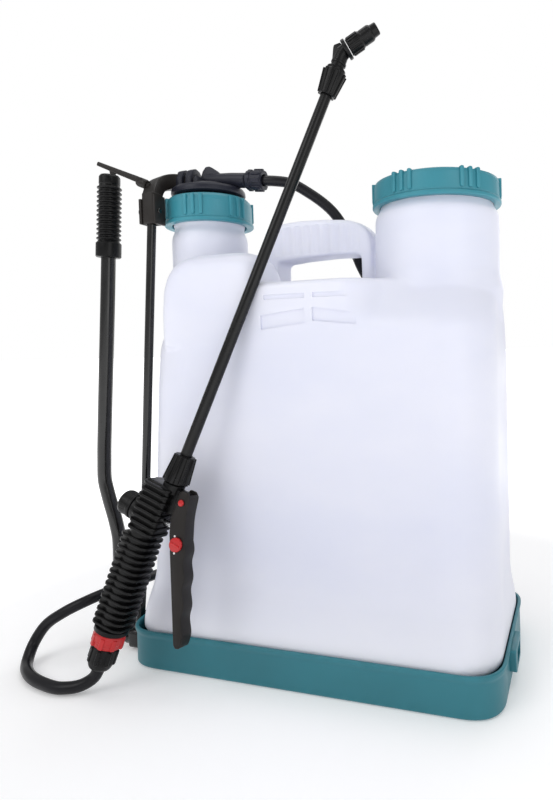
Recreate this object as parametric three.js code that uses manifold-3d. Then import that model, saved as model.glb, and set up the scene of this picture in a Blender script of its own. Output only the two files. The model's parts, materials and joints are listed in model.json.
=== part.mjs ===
// Backpack sprayer: tank on a base tray, lever-driven piston pump, filler lid, hose, lance and straps.
// Millimetres, +Z up. Origin on the ground under the middle of the base.
// -Y is the front, +Y the wearer's back, +X the filler side.

import * as THREE from 'three';
import { mergeVertices } from 'three/addons/utils/BufferGeometryUtils.js';
import Module from 'manifold-3d';

const wasm = await Module();
wasm.setup();

const DEG = Math.PI / 180;
const GAP = 0.3; // clearance between neighbouring pieces
const CUT = 1; // how far a cutting tool runs past the face it opens
const WELD = 1e-4; // vertices closer than this are one vertex

// Base tray
const BASE = { width: 390, depth: 206, corner: 37, height: 39.3, wall: 3, floor: 3, ribTop: 30.7, rib: 3 };
const SIDE_LUG = { reach: 6, front: -42, back: 3, bottom: 11, top: 36, frame: 5, slant: 9, leftShift: 62 };
const REAR_LUG = { x: 118, width: 52, reach: 9, bottom: 12, top: 36, frame: 4.5 };
const BUSH = { hole: 12, body: 11.7, flange: 13.6, outer: -198, face: -195.3, inner: -189 };

// Tank shell
const TANK = {
  wall: 3.2, footHalfX: 191.5, footHalfY: 99.5, footZ: 31, halfX: 188, halfY: 88, corner: 50, top: 389,
};
// Planes that lean inward with height and take off the tank's two left corners
const LEFT_CORNER = { reach: 187.6, fromZ: 60, lean: 4.08, turn: 37.6 };
const LEFT_NECK = { x: -141, shoulder: 42, neck: 40, bore: 33, lipZ: 463, topZ: 484 };
const RIGHT_NECK = { x: 125, shoulder: 62.5, neck: 56, bore: 52, lipZ: 462.5, topZ: 480 };
const BULGE = { left: -142, right: -36, top: 424, back: -30, round: 34 };
const HANDLE = { left: -62, right: 59, top: 459, round: 13, front: -20, back: 16 };
const HANDLE_OPENING = [[-46, 359], [49, 359], [49, 421], [9, 420], [-21, 417], [-46, 414]];
const RECESS = { depth: 1.4, barFace: -80.6, barZ: [373, 377], barX: [[-27, 16], [24, 64]] };
const CHEVRONS = [
  [[-31, 344], [15.5, 349], [15.5, 363], [-31, 358]],
  [[23, 351], [67, 346], [67, 357], [23, 364]],
];

// Filler
const LID = { outer: 62.5, bore: 57.4, z0: 463, z1: 488, plate: 3.4, rib: 2.4, ribWidth: 4.5, phase: 30 };
const LID_GASKET = { outer: 56.6, inner: 46, z0: 482.3, z1: 484.3 };
const BASKET = { flange: 55.6, outer: 50.5, wall: 1.5, flangeZ: 480.3, flangeT: 1.7, bottom: 425 };

// Pump
const NUT = {
  outer: 47, bore: 41.4, z0: 466, z1: 497, plate: 4.6, hole: 29, rib: 2.4, ribWidth: 4.5, phase: 0,
};
const NECK_GASKET = { outer: 39.5, inner: 33.4, z0: 484.3, z1: 486.3 };
const CYLINDER = { outer: 30, inner: 27, flange: 39.5, flangeZ: 486.6, flangeT: 2.2, bottom: 70 };
const GUIDE = { outer: 26.7, inner: 23.4, flange: 34, bottom: 472, flangeZ: 489.1, flangeT: 2 };
const CHAMBER = { outer: 23, inner: 20.5, bottom: 104, top: 498 };
const CUP = { outer: 26.7, z0: 90, z1: 103.7, bore: 6 };
const CHECK_VALVE = { outer: 20.2, z0: 104.3, z1: 110, bore: 5 };
const DIP_TUBE = { outer: 5, inner: 3.6, bottom: 116, top: 492 };
const FOOT_VALVE = { outer: 26.7, z0: 72, z1: 79, bore: 6 };
const SUCTION_STRAINER = { outer: 29, inner: 27, z0: 45, z1: 69.7 };
const HEAD = { radius: 41, z0: 500, z1: 509, hub: 27, hubTop: 516, journalY: -5, journalZ: 520 };
const CLIP = { x0: -173, x1: -154, front: -17, back: 8, top: 531, bump: 6 };
const OUTLET = { x: -121, z: 518.5, slope: 6, collar: 8.8, collarLen: 29, spigot: 7.6, bore: 4.5, end: 48 };
const OUTLET_NUT = { outer: 12, bore: 8, x0: 32, x1: 52 };

// Hand lever, crank and drive rod
const SHAFT = { y: -28, z: 14, radius: 8, innerEnd: -172 };
const CRANK = { throw: 34, angle: -5, x0: -222, x1: -215, hubR: 13.5, eyeR: 10, pinR: 4, pinEnd: -197.6 };
const CRANK_CLIP = { outer: 7, x0: -199.7, x1: -198.2 };
const SHAFT_CLIP = { outer: 10.6, x0: -188, x1: -185 };
const ROD = { radius: 4.75, footX: [-213, -200.3], footHalfY: 11.5, footHalfZ: 10.5, corner: 4 };
// The slot in the rod's foot lies off the pin at rest, so that it holds the pin's whole path.
const ROD_SLOT = { offPinY: -2.2, offPinZ: 1.3, halfY: 7, halfZ: 6, corner: 5.5 };
const CLAMP = { x0: -186.5, x1: -165.5, front: -63, back: -46, z0: 463, z1: 495, wall: 3.6, rodX: -176 };
const CLAMP_SCREW = {
  y: -55, z: 477, radius: 2.9, hole: 3.2, x0: -187, x1: -163, head: 5.2, headX0: -191, headX1: -186.8,
};
const GRIP = { x: -260.9, tilt: 3.97, z0: 423, z1: 511, core: 11.5, rib: 13.6, count: 7, collar: 16 };

// Wand
const WAND = { at: [-163.85, -146.48, 56.5], tiltX: -9.63, tiltY: 20.72 };
const HANDLE_TUBE = { x: -7, tilt: -3.2, core: 15.6, rib: 18.4, count: 9, length: 100, bore: 9 };
const VALVE = {
  s: 117, bore: 8, stem: 3, stemEnd: 29.3, boss: -30, cap: -45, capR: 11.6, springAt: -28.2, springLength: 13,
};
const TRIGGER = {
  pinX: 19.6, pinS: 143.5, pinR: 2, halfY: 8, inner: 5.8, lugHalfY: 5.4, shell: 3, crown: 23.7,
};
const LOCK = { x: 30.6, s: 107, radius: 6.5, stem: 2.5, hole: 2.8, face: 8.3, top: 11, inner: 5 };
const LANCE = { outer: 5.5, inner: 4, s0: 153.3, s1: 560 };
const LANCE_NUT = { low: 13.2, high: 10.8, s0: 156, s1: 183 };
const TIP_NUT = { low: 9.3, high: 12.2, s0: 554, s1: 578 };
const NOZZLE = { x: 0.8, s: 600, tilt: 41 };

// Hose and straps
const HOSE_R = 5.75;
const STRAP = { width: 58, thickness: 9 };
const BUCKLE = {
  x: 118, y: 124, z: 62, halfX: 24, halfY: 3, halfZ: 18, slotHalfX: 18, slots: [[-12, -3], [3, 12]],
};
const HOSE_CLIP = { x: 22.6, y: 104, z: 300, halfX: 10, halfZ: 6, back: 9, bore: 6.95 };

const COLOURS = {
  tank: [0xdfe1ec, 0.45, 0],
  teal: [0x37808c, 0.5, 0],
  lid: [0x3f8d9c, 0.5, 0],
  black: [0x1c1c1e, 0.55, 0],
  head: [0x34343f, 0.5, 0],
  arm: [0x46423f, 0.6, 0],
  red: [0xc8242a, 0.4, 0],
  rubber: [0x202022, 0.8, 0],
  steel: [0xb4b8bc, 0.35, 1],
  paintedSteel: [0x191919, 0.35, 0.4],
  webbing: [0x23252a, 0.9, 0],
  clear: [0xc9d3d8, 0.4, 0],
};

// ---------- solids ----------

function signedVolume(positions, index) {
  const [a, b, c] = [new THREE.Vector3(), new THREE.Vector3(), new THREE.Vector3()];
  let volume = 0;
  for (let i = 0; i < index.length; i += 3) {
    a.fromBufferAttribute(positions, index[i]);
    b.fromBufferAttribute(positions, index[i + 1]);
    c.fromBufferAttribute(positions, index[i + 2]);
    volume += a.dot(b.cross(c)) / 6;
  }
  return volume;
}

function solid(geometry) {
  const bare = geometry.clone();
  bare.deleteAttribute('normal');
  bare.deleteAttribute('uv');
  const welded = mergeVertices(bare, WELD);
  const triVerts = new Uint32Array(welded.index.array);
  if (signedVolume(welded.attributes.position, triVerts) < 0) triVerts.reverse();
  const vertProperties = new Float32Array(welded.attributes.position.array);
  return new wasm.Manifold(new wasm.Mesh({ numProp: 3, vertProperties, triVerts }));
}

function toGeometry(body) {
  const mesh = body.getMesh();
  const geometry = new THREE.BufferGeometry();
  geometry.setAttribute('position', new THREE.BufferAttribute(new Float32Array(mesh.vertProperties), 3));
  geometry.setIndex(new THREE.BufferAttribute(new Uint32Array(mesh.triVerts), 1));
  geometry.computeVertexNormals();
  return geometry;
}

function union(...bodies) {
  return bodies.reduce((sum, body) => sum.add(body));
}

function cut(body, ...tools) {
  return tools.reduce((rest, tool) => rest.subtract(tool), body);
}

function revolve(profile, segments = 20) {
  const points = profile.map(([r, z]) => new THREE.Vector2(r, z));
  return solid(new THREE.LatheGeometry(points, segments).rotateX(Math.PI / 2));
}

function rod(radius, z0, z1, segments = 16) {
  return revolve([[0, z0], [radius, z0], [radius, z1], [0, z1]], segments);
}

function tubeOf(spec, z0, z1, segments) {
  return ring(spec.outer, spec.inner, z0, z1, segments);
}

function ring(outer, inner, z0, z1, segments = 20) {
  return revolve([[inner, z0], [outer, z0], [outer, z1], [inner, z1], [inner, z0]], segments);
}

function alongX(body) {
  return body.rotate([0, 90, 0]);
}

function alongY(body) {
  return body.rotate([-90, 0, 0]);
}

function polygon(points) {
  return new THREE.Shape(points.map(([x, y]) => new THREE.Vector2(x, y)));
}

function roundedRect(x0, y0, x1, y1, r) {
  const shape = new THREE.Shape();
  shape.absarc(x1 - r, y0 + r, r, -Math.PI / 2, 0);
  shape.absarc(x1 - r, y1 - r, r, 0, Math.PI / 2);
  shape.absarc(x0 + r, y1 - r, r, Math.PI / 2, Math.PI);
  shape.absarc(x0 + r, y0 + r, r, Math.PI, 1.5 * Math.PI);
  return shape;
}

function extrude(shape, depth, curveSegments = 8) {
  return new THREE.ExtrudeGeometry(shape, { depth, bevelEnabled: false, curveSegments });
}

function slabXY(shape, z0, z1, curveSegments) {
  return solid(extrude(shape, z1 - z0, curveSegments).translate(0, 0, z0));
}

function slabXZ(shape, front, back, curveSegments) {
  return solid(extrude(shape, back - front, curveSegments).rotateX(Math.PI / 2).translate(0, back, 0));
}

function slabYZ(shape, x0, x1, curveSegments) {
  const turn = new THREE.Matrix4().makeBasis(
    new THREE.Vector3(0, 1, 0),
    new THREE.Vector3(0, 0, 1),
    new THREE.Vector3(1, 0, 0),
  );
  return solid(extrude(shape, x1 - x0, curveSegments).applyMatrix4(turn).translate(x0, 0, 0));
}

function box(x0, y0, z0, x1, y1, z1) {
  const geometry = new THREE.BoxGeometry(x1 - x0, y1 - y0, z1 - z0);
  return solid(geometry.translate((x0 + x1) / 2, (y0 + y1) / 2, (z0 + z1) / 2));
}

function sweep(shape, points, steps, curveSegments = 3) {
  const path = new THREE.CatmullRomCurve3(points.map((p) => new THREE.Vector3(...p)), false, 'centripetal');
  return solid(new THREE.ExtrudeGeometry(shape, { extrudePath: path, steps, curveSegments }));
}

function circle(radius) {
  const shape = new THREE.Shape();
  shape.absarc(0, 0, radius, 0, 2 * Math.PI);
  return shape;
}

function capsuleYZ(y0, z0, r0, y1, z1, r1) {
  const along = Math.atan2(z1 - z0, y1 - y0);
  const shape = new THREE.Shape();
  shape.absarc(y0, z0, r0, along + Math.PI / 2, along + 1.5 * Math.PI);
  shape.absarc(y1, z1, r1, along - Math.PI / 2, along + Math.PI / 2);
  return shape;
}

// ---------- scene helpers ----------

function node(name, body, look) {
  const [color, roughness, metalness] = COLOURS[look];
  const material = new THREE.MeshStandardMaterial({ color, roughness, metalness });
  const mesh = new THREE.Mesh(toGeometry(body), material);
  mesh.name = name;
  return mesh;
}

function group(name, position, rotationDeg, ...children) {
  const out = new THREE.Group();
  out.name = name;
  out.position.set(...position);
  out.rotation.set(...rotationDeg.map((angle) => angle * DEG));
  out.add(...children);
  return out;
}

// ---------- base ----------

function sideLug(side) {
  const { reach, bottom, top, frame, slant, leftShift } = SIDE_LUG;
  const shift = side < 0 ? leftShift : 0; // the left lug sits behind the lever shaft
  const [front, back] = [SIDE_LUG.front + shift, SIDE_LUG.back + shift];
  const inner = side * (BASE.width / 2 - 1);
  const outer = side * (BASE.width / 2 + reach);
  const outline = polygon([[front, top], [front + slant, bottom], [back, bottom], [back, top]]);
  const plate = slabYZ(outline, Math.min(inner, outer), Math.max(inner, outer));
  const slot = box(-BASE.width, front + slant + frame, bottom + frame, BASE.width, back - frame, top - frame);
  return cut(plate, slot);
}

function rearLug(side) {
  const { x, width, reach, bottom, top, frame } = REAR_LUG;
  const [x0, x1] = [side * x - width / 2, side * x + width / 2];
  const y = BASE.depth / 2;
  const block = box(x0, y - 1, bottom, x1, y + reach, top);
  return cut(block, box(x0 + frame, y, bottom - CUT, x1 - frame, y + reach - frame, top + CUT));
}

function baseSkirt() {
  const { width, depth, corner, height, wall, floor, ribTop, rib } = BASE;
  const [hx, hy] = [width / 2, depth / 2];
  const outer = slabXY(roundedRect(-hx, -hy, hx, hy, corner), 0, height, 6);
  const inside = roundedRect(-hx + wall, -hy + wall, hx - wall, hy - wall, corner - wall);
  const pocket = slabXY(inside, floor, height + CUT, 6);
  const ribs = [-110, 0, 110].map((x) => box(x - rib / 2, -hy + 1, 1, x + rib / 2, hy - 1, ribTop));
  ribs.push(box(-hx + 1, -rib / 2, 1, hx - 1, rib / 2, ribTop));
  const lugs = [-1, 1].flatMap((side) => [sideLug(side), rearLug(side)]);
  const outside = lugs.map((lug) => cut(lug, slabXY(inside, -CUT, height, 6)));
  const bushHole = alongX(rod(BUSH.hole, -hx - 2 * wall, -hx + 2 * wall)).translate([0, SHAFT.y, SHAFT.z]);
  return cut(union(cut(outer, pocket), ...ribs, ...outside), bushHole);
}

function shaftBush() {
  const bore = SHAFT.radius + GAP;
  const { body, flange, outer, face, inner } = BUSH;
  const profile = [
    [bore, outer], [flange, outer], [flange, face], [body, face], [body, inner], [bore, inner], [bore, outer],
  ];
  return alongX(revolve(profile, 24)).translate([0, SHAFT.y, SHAFT.z]);
}

// ---------- tank ----------

function cutLeftCorners(body, inset) {
  const { reach, fromZ, lean, turn } = LEFT_CORNER;
  const block = box(-150, -200, -200, 0, 200, 500).rotate([0, lean, 0]).translate([inset - reach, 0, fromZ]);
  return cut(body, block.rotate([0, 0, turn]), block.rotate([0, 0, -turn]));
}

function tankEnvelope(inset) {
  const { footHalfX, footHalfY, footZ, halfX, halfY, corner, top } = TANK;
  const side = halfX - inset;
  const left = [[side, 290], [side - 2, 330], [side - 3, 351], [side - 3.5, top]];
  const foot = footHalfX - inset;
  const outline = polygon([
    [-foot, footZ + inset], [foot, footZ + inset], [foot, 44], [side, 78], [side, top - inset],
    ...left.reverse().map(([x, z]) => [-x, Math.min(z, top - inset)]), [-side, 78], [-foot, 44],
  ]);
  const deep = footHalfY - inset;
  const body = halfY - inset;
  const profile = polygon([
    [-deep, footZ + inset], [deep, footZ + inset], [deep, 44], [body, 78], [body, 364], [body - 8, 378],
    [body - 26, top - inset], [-body + 26, top - inset], [-body + 8, 378], [-body, 364],
    [-body, 78], [-deep, 44],
  ]);
  const spare = 0.6; // keeps the plan's straight sides off the foot's own faces
  const plan = roundedRect(-foot - spare, -deep - spare, foot + spare, deep + spare, corner - inset);
  const whole = slabXZ(outline, -deep - CUT, deep + CUT)
    .intersect(slabYZ(profile, -foot - CUT, foot + CUT))
    .intersect(slabXY(plan, 0, top + CUT, 5));
  return cutLeftCorners(whole, inset);
}

function tankBulge(inset) {
  const { left, right, top, back, round } = BULGE;
  const shape = roundedRect(left + inset, 300, right - inset, top - inset, round - inset);
  const [front, rear] = [-TANK.halfY + inset + 0.5, back - inset];
  const slab = slabXZ(shape, front, rear, 5);
  const side = polygon([
    [front, 290], [rear, 290], [rear, top], [front + 22, top], [front + 7, 400], [front, 366],
  ]);
  return cutLeftCorners(slab.intersect(slabYZ(side, left - CUT, right + CUT)), inset);
}

function neck(spec, inset, from) {
  const top = inset > 0 ? spec.topZ + CUT : spec.topZ;
  const wide = spec.shoulder - inset;
  const narrow = inset > 0 ? spec.bore : spec.neck;
  const bend = spec.lipZ - (inset > 0 ? 10 : 0);
  return revolve([[0, from], [wide, from], [wide, bend - 8], [narrow, bend], [narrow, top], [0, top]], 24)
    .translate([spec.x, 0, 0]);
}

function carryHandle() {
  const { left, right, top, round, front, back } = HANDLE;
  const outer = roundedRect(left, TANK.top - 20, right, top, round);
  return cut(slabXZ(outer, front, back, 4), slabXZ(polygon(HANDLE_OPENING), front - CUT, back + CUT));
}

function frontRecesses() {
  const clear = -TANK.halfY - 30;
  const [z0, z1] = RECESS.barZ;
  const bars = RECESS.barX.map(([x0, x1]) => box(x0, clear, z0, x1, RECESS.barFace, z1));
  const chevrons = CHEVRONS.map((points) => slabXZ(polygon(points), clear, -TANK.halfY + RECESS.depth));
  return [...bars, ...chevrons];
}

function tank() {
  const parts = (inset) => union(
    tankEnvelope(inset),
    tankBulge(inset),
    neck(LEFT_NECK, inset, 330),
    neck(RIGHT_NECK, inset, 330),
  );
  return cut(union(parts(0), carryHandle()), parts(TANK.wall), ...frontRecesses());
}

// ---------- filler ----------

function ribbedCap(spec) {
  const ribs = [];
  for (let sector = 0; sector < 6; sector += 1) {
    for (const step of [-1, 0, 1]) {
      const half = spec.ribWidth / 2;
      const rib = box(spec.outer - 2, -half, spec.z0 + 4, spec.outer + spec.rib, half, spec.z1 + 1);
      ribs.push(rib.rotate([0, 0, spec.phase + sector * 60 + (step * 2 * spec.ribWidth) / spec.outer / DEG]));
    }
  }
  return ribs;
}

function fillerLid() {
  const { outer, bore, z0, z1, plate } = LID;
  const shell = revolve([
    [0, z1 - plate], [bore, z1 - plate], [bore, z0], [outer + LID.rib, z0], [outer + LID.rib, z0 + 4],
    [outer, z0 + 4], [outer, z1 - 2], [outer - 3, z1], [0, z1],
  ], 24);
  return union(shell, ...ribbedCap(LID));
}

function basket() {
  const { flange, outer, wall, flangeZ, flangeT, bottom } = BASKET;
  return revolve([
    [0, bottom], [outer, bottom], [outer, flangeZ], [flange, flangeZ], [flange, flangeZ + flangeT],
    [outer - wall, flangeZ + flangeT], [outer - wall, bottom + wall], [0, bottom + wall],
  ]);
}

// ---------- pump ----------

function ringNut() {
  const { outer, bore, z0, z1, plate, hole } = NUT;
  const shell = revolve([
    [bore, z0], [outer + NUT.rib, z0], [outer + NUT.rib, z0 + 4], [outer, z0 + 4], [outer, z1 - 5],
    [outer - 6, z1], [hole, z1], [hole, z1 - plate], [bore, z1 - plate], [bore, z0],
  ], 24);
  const ribs = ribbedCap({ ...NUT, z1: z1 - 6 });
  return union(shell, ...ribs);
}

function pumpCylinder() {
  const { outer, inner, flange, flangeZ, flangeT, bottom } = CYLINDER;
  return revolve([
    [inner, bottom], [outer, bottom], [outer, flangeZ], [flange, flangeZ],
    [flange, flangeZ + flangeT], [inner, flangeZ + flangeT], [inner, bottom],
  ]);
}

function guideBush() {
  const { outer, inner, flange, bottom, flangeZ, flangeT } = GUIDE;
  return revolve([
    [inner, bottom], [outer, bottom], [outer, flangeZ], [flange, flangeZ],
    [flange, flangeZ + flangeT], [inner, flangeZ + flangeT], [inner, bottom],
  ]);
}

function suctionStrainer() {
  const { outer, inner, z0, z1 } = SUCTION_STRAINER;
  return revolve([[0, z0], [outer, z0], [outer, z1], [inner, z1], [inner, z0 + 2], [0, z0 + 2]]);
}

function outletTool(body) {
  return alongX(body).rotate([0, OUTLET.slope, 0]).translate([OUTLET.x - LEFT_NECK.x, 0, OUTLET.z]);
}

function pumpHead() {
  const local = (x) => x - LEFT_NECK.x;
  const { radius, z0, z1, hub, hubTop, journalY, journalZ } = HEAD;
  const disc = revolve([
    [0, z0], [radius, z0], [radius, z1 - 2], [radius - 2, z1], [hub, z1], [hub - 4, hubTop], [0, hubTop],
  ], 18);
  const socket = ring(CHAMBER.outer + 3, CHAMBER.outer + GAP, CHAMBER.top - 0.5, z0 + CUT);
  const clip = box(local(CLIP.x0), CLIP.front, z1 - 1, local(CLIP.x1), CLIP.back, CLIP.top - 3);
  const bump = alongX(rod(CLIP.bump, local(CLIP.x0), local(CLIP.x1), 16));
  const bumps = [journalY - 7, journalY + 6].map((y) => bump.translate([0, y, CLIP.top - CLIP.bump]));
  const fin = slabXZ(polygon([
    [local(-156), z1 - 1], [local(-146), 535], [local(-140), 535], [local(-121), 524], [local(-112), z1 - 1],
  ]), -3.5, 3.5);
  const collar = outletTool(rod(OUTLET.collar, -14, OUTLET.collarLen));
  const spigot = outletTool(rod(OUTLET.spigot, 0, OUTLET.end));
  const passage = outletTool(rod(OUTLET.bore, -18, OUTLET.end + CUT));
  const riser = rod(OUTLET.bore, z0 - CUT, hubTop - 1);
  const journalBore = alongX(rod(7 + GAP, local(CLIP.x0) - CUT, local(CLIP.x1) + CUT))
    .translate([0, journalY, journalZ]);
  return cut(union(disc, socket, clip, ...bumps, fin, collar, spigot), passage, riser, journalBore);
}

function outletNut() {
  const { outer, bore, x0, x1 } = OUTLET_NUT;
  const body = ring(outer - 1, bore, x0, x1);
  const ribs = [];
  for (let i = 0; i < 8; i += 1) {
    const rib = box(bore + 1, -1.6, x0 + 3, outer, 1.6, x1 - 3);
    ribs.push(rib.rotate([0, 0, i * 45]));
  }
  return alongX(union(body, ...ribs));
}

function leftNeckGroup() {
  const outletAt = [OUTLET.x - LEFT_NECK.x, 0, OUTLET.z];
  return group('pump_group', [LEFT_NECK.x, 0, 0], [0, 0, 0],
    node('neck_gasket', tubeOf(NECK_GASKET, NECK_GASKET.z0, NECK_GASKET.z1), 'rubber'),
    node('pump_cylinder', pumpCylinder(), 'clear'),
    node('guide_bush', guideBush(), 'black'),
    node('ring_nut', ringNut(), 'lid'),
    node('foot_valve', ring(FOOT_VALVE.outer, FOOT_VALVE.bore, FOOT_VALVE.z0, FOOT_VALVE.z1), 'rubber'),
    node('suction_strainer', suctionStrainer(), 'clear'),
    node('pressure_chamber', tubeOf(CHAMBER, CHAMBER.bottom, CHAMBER.top), 'black'),
    node('piston_cup', ring(CUP.outer, CUP.bore, CUP.z0, CUP.z1), 'rubber'),
    node('check_valve', ring(CHECK_VALVE.outer, CHECK_VALVE.bore, CHECK_VALVE.z0, CHECK_VALVE.z1), 'rubber'),
    node('dip_tube', tubeOf(DIP_TUBE, DIP_TUBE.bottom, DIP_TUBE.top, 16), 'clear'),
    node('pump_head', pumpHead(), 'head'),
    group('outlet_group', outletAt, [0, OUTLET.slope, 0], node('outlet_nut', outletNut(), 'head')),
  );
}

// ---------- arm, rod, lever ----------

function driveArm() {
  const journal = alongX(rod(7, -187, -155.5)).translate([0, HEAD.journalY, HEAD.journalZ]);
  const bend = sweep(roundedRect(-7, -7, 7, 7, 3), [
    [-183.5, HEAD.journalY, HEAD.journalZ], [-188, -15, 526], [-190, -32, 520], [-186, -46, 505],
    [-177.5, -54, 488],
  ], 9, 1);
  const { x0, x1, front, back, z0, z1, wall } = CLAMP;
  const channel = box(x0, front, z0, x1, back, z1);
  const pocket = box(x0 + wall, front - CUT, z0 - CUT, x1 - wall, back - wall, z1 - 8);
  const screwHole = screwAt(rod(CLAMP_SCREW.hole, x0 - CUT, x1 + CUT, 16));
  const hookPath = [[-184, -48, 507], [-194, -52, 513], [-218, -54, 523], [-246, -55, 535.5]];
  const hook = sweep(circle(3.6), hookPath, 6);
  const tab = box(-232, -56.5, 521.5, -226, -52, 528);
  return cut(union(journal, bend, channel, hook, tab), pocket, screwHole);
}

function driveRod() {
  const pin = crankPinAt();
  const { radius, footX, footHalfY, footHalfZ, corner } = ROD;
  const [y, z] = [pin.y + ROD_SLOT.offPinY, pin.z + ROD_SLOT.offPinZ];
  const around = (halfY, halfZ, r) => roundedRect(y - halfY, z - halfZ, y + halfY, z + halfZ, r);
  const foot = slabYZ(around(footHalfY, footHalfZ, corner), footX[0], footX[1], 4);
  const slotShape = around(ROD_SLOT.halfY, ROD_SLOT.halfZ, ROD_SLOT.corner);
  const slot = slabYZ(slotShape, footX[0] - CUT, footX[1] + CUT, 4);
  const bar = sweep(circle(radius), [
    [(footX[0] + footX[1]) / 2, y, z + footHalfZ - 3], [-198.5, -61, 120], [CLAMP.rodX, CLAMP_SCREW.y, 484],
  ], 8);
  return cut(union(foot, bar), slot, screwAt(rod(CLAMP_SCREW.hole, CLAMP.x0, CLAMP.x1, 16)));
}

function screwAt(body) {
  return alongX(body).translate([0, CLAMP_SCREW.y, CLAMP_SCREW.z]);
}

function clampScrew() {
  const { radius, x0, x1, head, headX0, headX1 } = CLAMP_SCREW;
  const body = union(rod(radius, x0, x1, 16), rod(head, headX0, headX1, 6));
  return screwAt(body);
}

function crankPinAt() {
  const angle = CRANK.angle * DEG;
  return { y: SHAFT.y - CRANK.throw * Math.cos(angle), z: SHAFT.z + CRANK.throw * Math.sin(angle) };
}

function leverTube() {
  const path = [
    [SHAFT.innerEnd, 0, 0], [-236, 0, 0], [-250, 0, 1], [-259, 0, 8], [-262, 0, 22], [-262, 0, 66],
    [-266, 0, 98], [-274, 0, 128], [-279, 0, 160], [-276, 0, 220], [-261, 0, 422], [-255.1, 0, 507],
  ];
  return sweep(circle(SHAFT.radius), path, 36);
}

function leverGrip() {
  const profile = [[SHAFT.radius + GAP, 0]];
  const length = GRIP.z1 - GRIP.z0;
  const pitch = (length - GRIP.collar - 2) / GRIP.count;
  profile.push([GRIP.core, 0], [GRIP.core, GRIP.collar]);
  for (let i = 0; i < GRIP.count; i += 1) {
    const z = GRIP.collar + i * pitch;
    profile.push([GRIP.rib, z + pitch * 0.3], [GRIP.rib, z + pitch * 0.8], [GRIP.core, z + pitch]);
  }
  profile.push([GRIP.core, length + 3], [GRIP.core - 4, length + 7], [0, length + 7]);
  profile.push([0, length + GAP], [SHAFT.radius + GAP, length + GAP], [SHAFT.radius + GAP, 0]);
  return revolve(profile, 14);
}

function crankWeb() {
  const pin = crankPinAt();
  const shape = capsuleYZ(0, 0, CRANK.hubR, pin.y - SHAFT.y, pin.z - SHAFT.z, CRANK.eyeR);
  const bore = alongX(rod(SHAFT.radius + GAP, CRANK.x0 - CUT, CRANK.x1 + CUT));
  return cut(slabYZ(shape, CRANK.x0, CRANK.x1), bore);
}

function leverGroup() {
  const pin = crankPinAt();
  const [py, pz] = [pin.y - SHAFT.y, pin.z - SHAFT.z];
  const at = (body) => alongX(body).translate([0, py, pz]);
  const crankClip = ring(CRANK_CLIP.outer, CRANK.pinR + GAP, CRANK_CLIP.x0, CRANK_CLIP.x1, 16);
  const shaftClip = ring(SHAFT_CLIP.outer, SHAFT.radius + GAP, SHAFT_CLIP.x0, SHAFT_CLIP.x1, 20);
  return group('lever_group', [0, SHAFT.y, SHAFT.z], [0, 0, 0],
    node('lever_tube', leverTube(), 'paintedSteel'),
    group('grip_group', [GRIP.x, 0, GRIP.z0], [0, GRIP.tilt, 0], node('lever_grip', leverGrip(), 'black')),
    node('crank_web', crankWeb(), 'paintedSteel'),
    node('crank_pin', at(rod(CRANK.pinR, CRANK.x1 + GAP, CRANK.pinEnd)), 'steel'),
    node('crank_clip', at(crankClip), 'steel'),
    node('shaft_clip', alongX(shaftClip), 'steel'),
  );
}

// ---------- wand ----------

function handleRibs() {
  const { core, rib, count, length, bore } = HANDLE_TUBE;
  const pitch = length / count;
  const profile = [[bore, 0], [core, 0]];
  for (let i = 0; i < count; i += 1) {
    const z = i * pitch;
    profile.push([rib, z + pitch * 0.3], [rib, z + pitch * 0.75], [core, z + pitch]);
  }
  profile.push([core, length + 8], [bore, length + 8], [bore, 0]);
  return revolve(profile, 16);
}

function wandHandle() {
  const grip = handleRibs().rotate([0, HANDLE_TUBE.tilt, 0]).translate([HANDLE_TUBE.x, 0, 0]);
  const head = slabXZ(polygon([
    [-24, 100], [5, 100], [6, 124], [9, 128], [19, 131], [23.2, 136],
    [23.2, 148], [19, 151.8], [-22, 151.8], [-26, 147], [-26, 106],
  ]), -15, 15);
  const cheekTools = [[-16, -TRIGGER.lugHalfY], [TRIGGER.lugHalfY, 16]] // room for the trigger's cheeks
    .map(([front, back]) => box(9.5, front, 90, 30, back, 160));
  const boss = alongX(rod(13, VALVE.boss, 0)).translate([0, 0, VALVE.s]);
  const neckCollar = rod(9, 140, 155.6);
  const valveBore = alongX(rod(VALVE.bore, -40, 0)).translate([0, 0, VALVE.s]);
  const stemHole = alongX(rod(VALVE.stem + GAP, -5, 30, 16)).translate([0, 0, VALVE.s]);
  const feed = rod(3, 98, VALVE.s, 12).translate([-10, 0, 0]);
  const outlet = union(rod(4, VALVE.s, 160, 16), rod(LANCE.outer + GAP, LANCE.s0 - GAP, 160, 16));
  const pinHole = alongY(rod(TRIGGER.pinR + GAP, -30, 30)).translate([TRIGGER.pinX, 0, TRIGGER.pinS]);
  const solidHead = cut(head, ...cheekTools);
  return cut(union(grip, solidHead, boss, neckCollar), valveBore, stemHole, feed, outlet, pinHole);
}

const TRIGGER_OUTLINE = [
  [12.9, 150], [15, 153.8], [21.5, 154.6], [25.4, 151], [27.4, 142.7], [29.8, 131.6], [33.6, 120.9],
  [36.4, 112.9], [41.4, 106.5], [42.6, 101.5], [44.4, 93.2], [46.9, 87], [51.2, 82], [52.8, 77.5], [53.9, 71],
  [55.8, 65.7], [59.3, 61], [60.9, 56], [62, 50.3], [64.6, 44], [68.2, 38.5], [70, 33], [72, 26.5],
  [71.5, 23.5], [68.5, 22.6], [65, 24.5], [63.3, 28], [35.8, 81], [25.9, 98.5], [18, 113.9], [13.8, 124.8],
];

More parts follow.
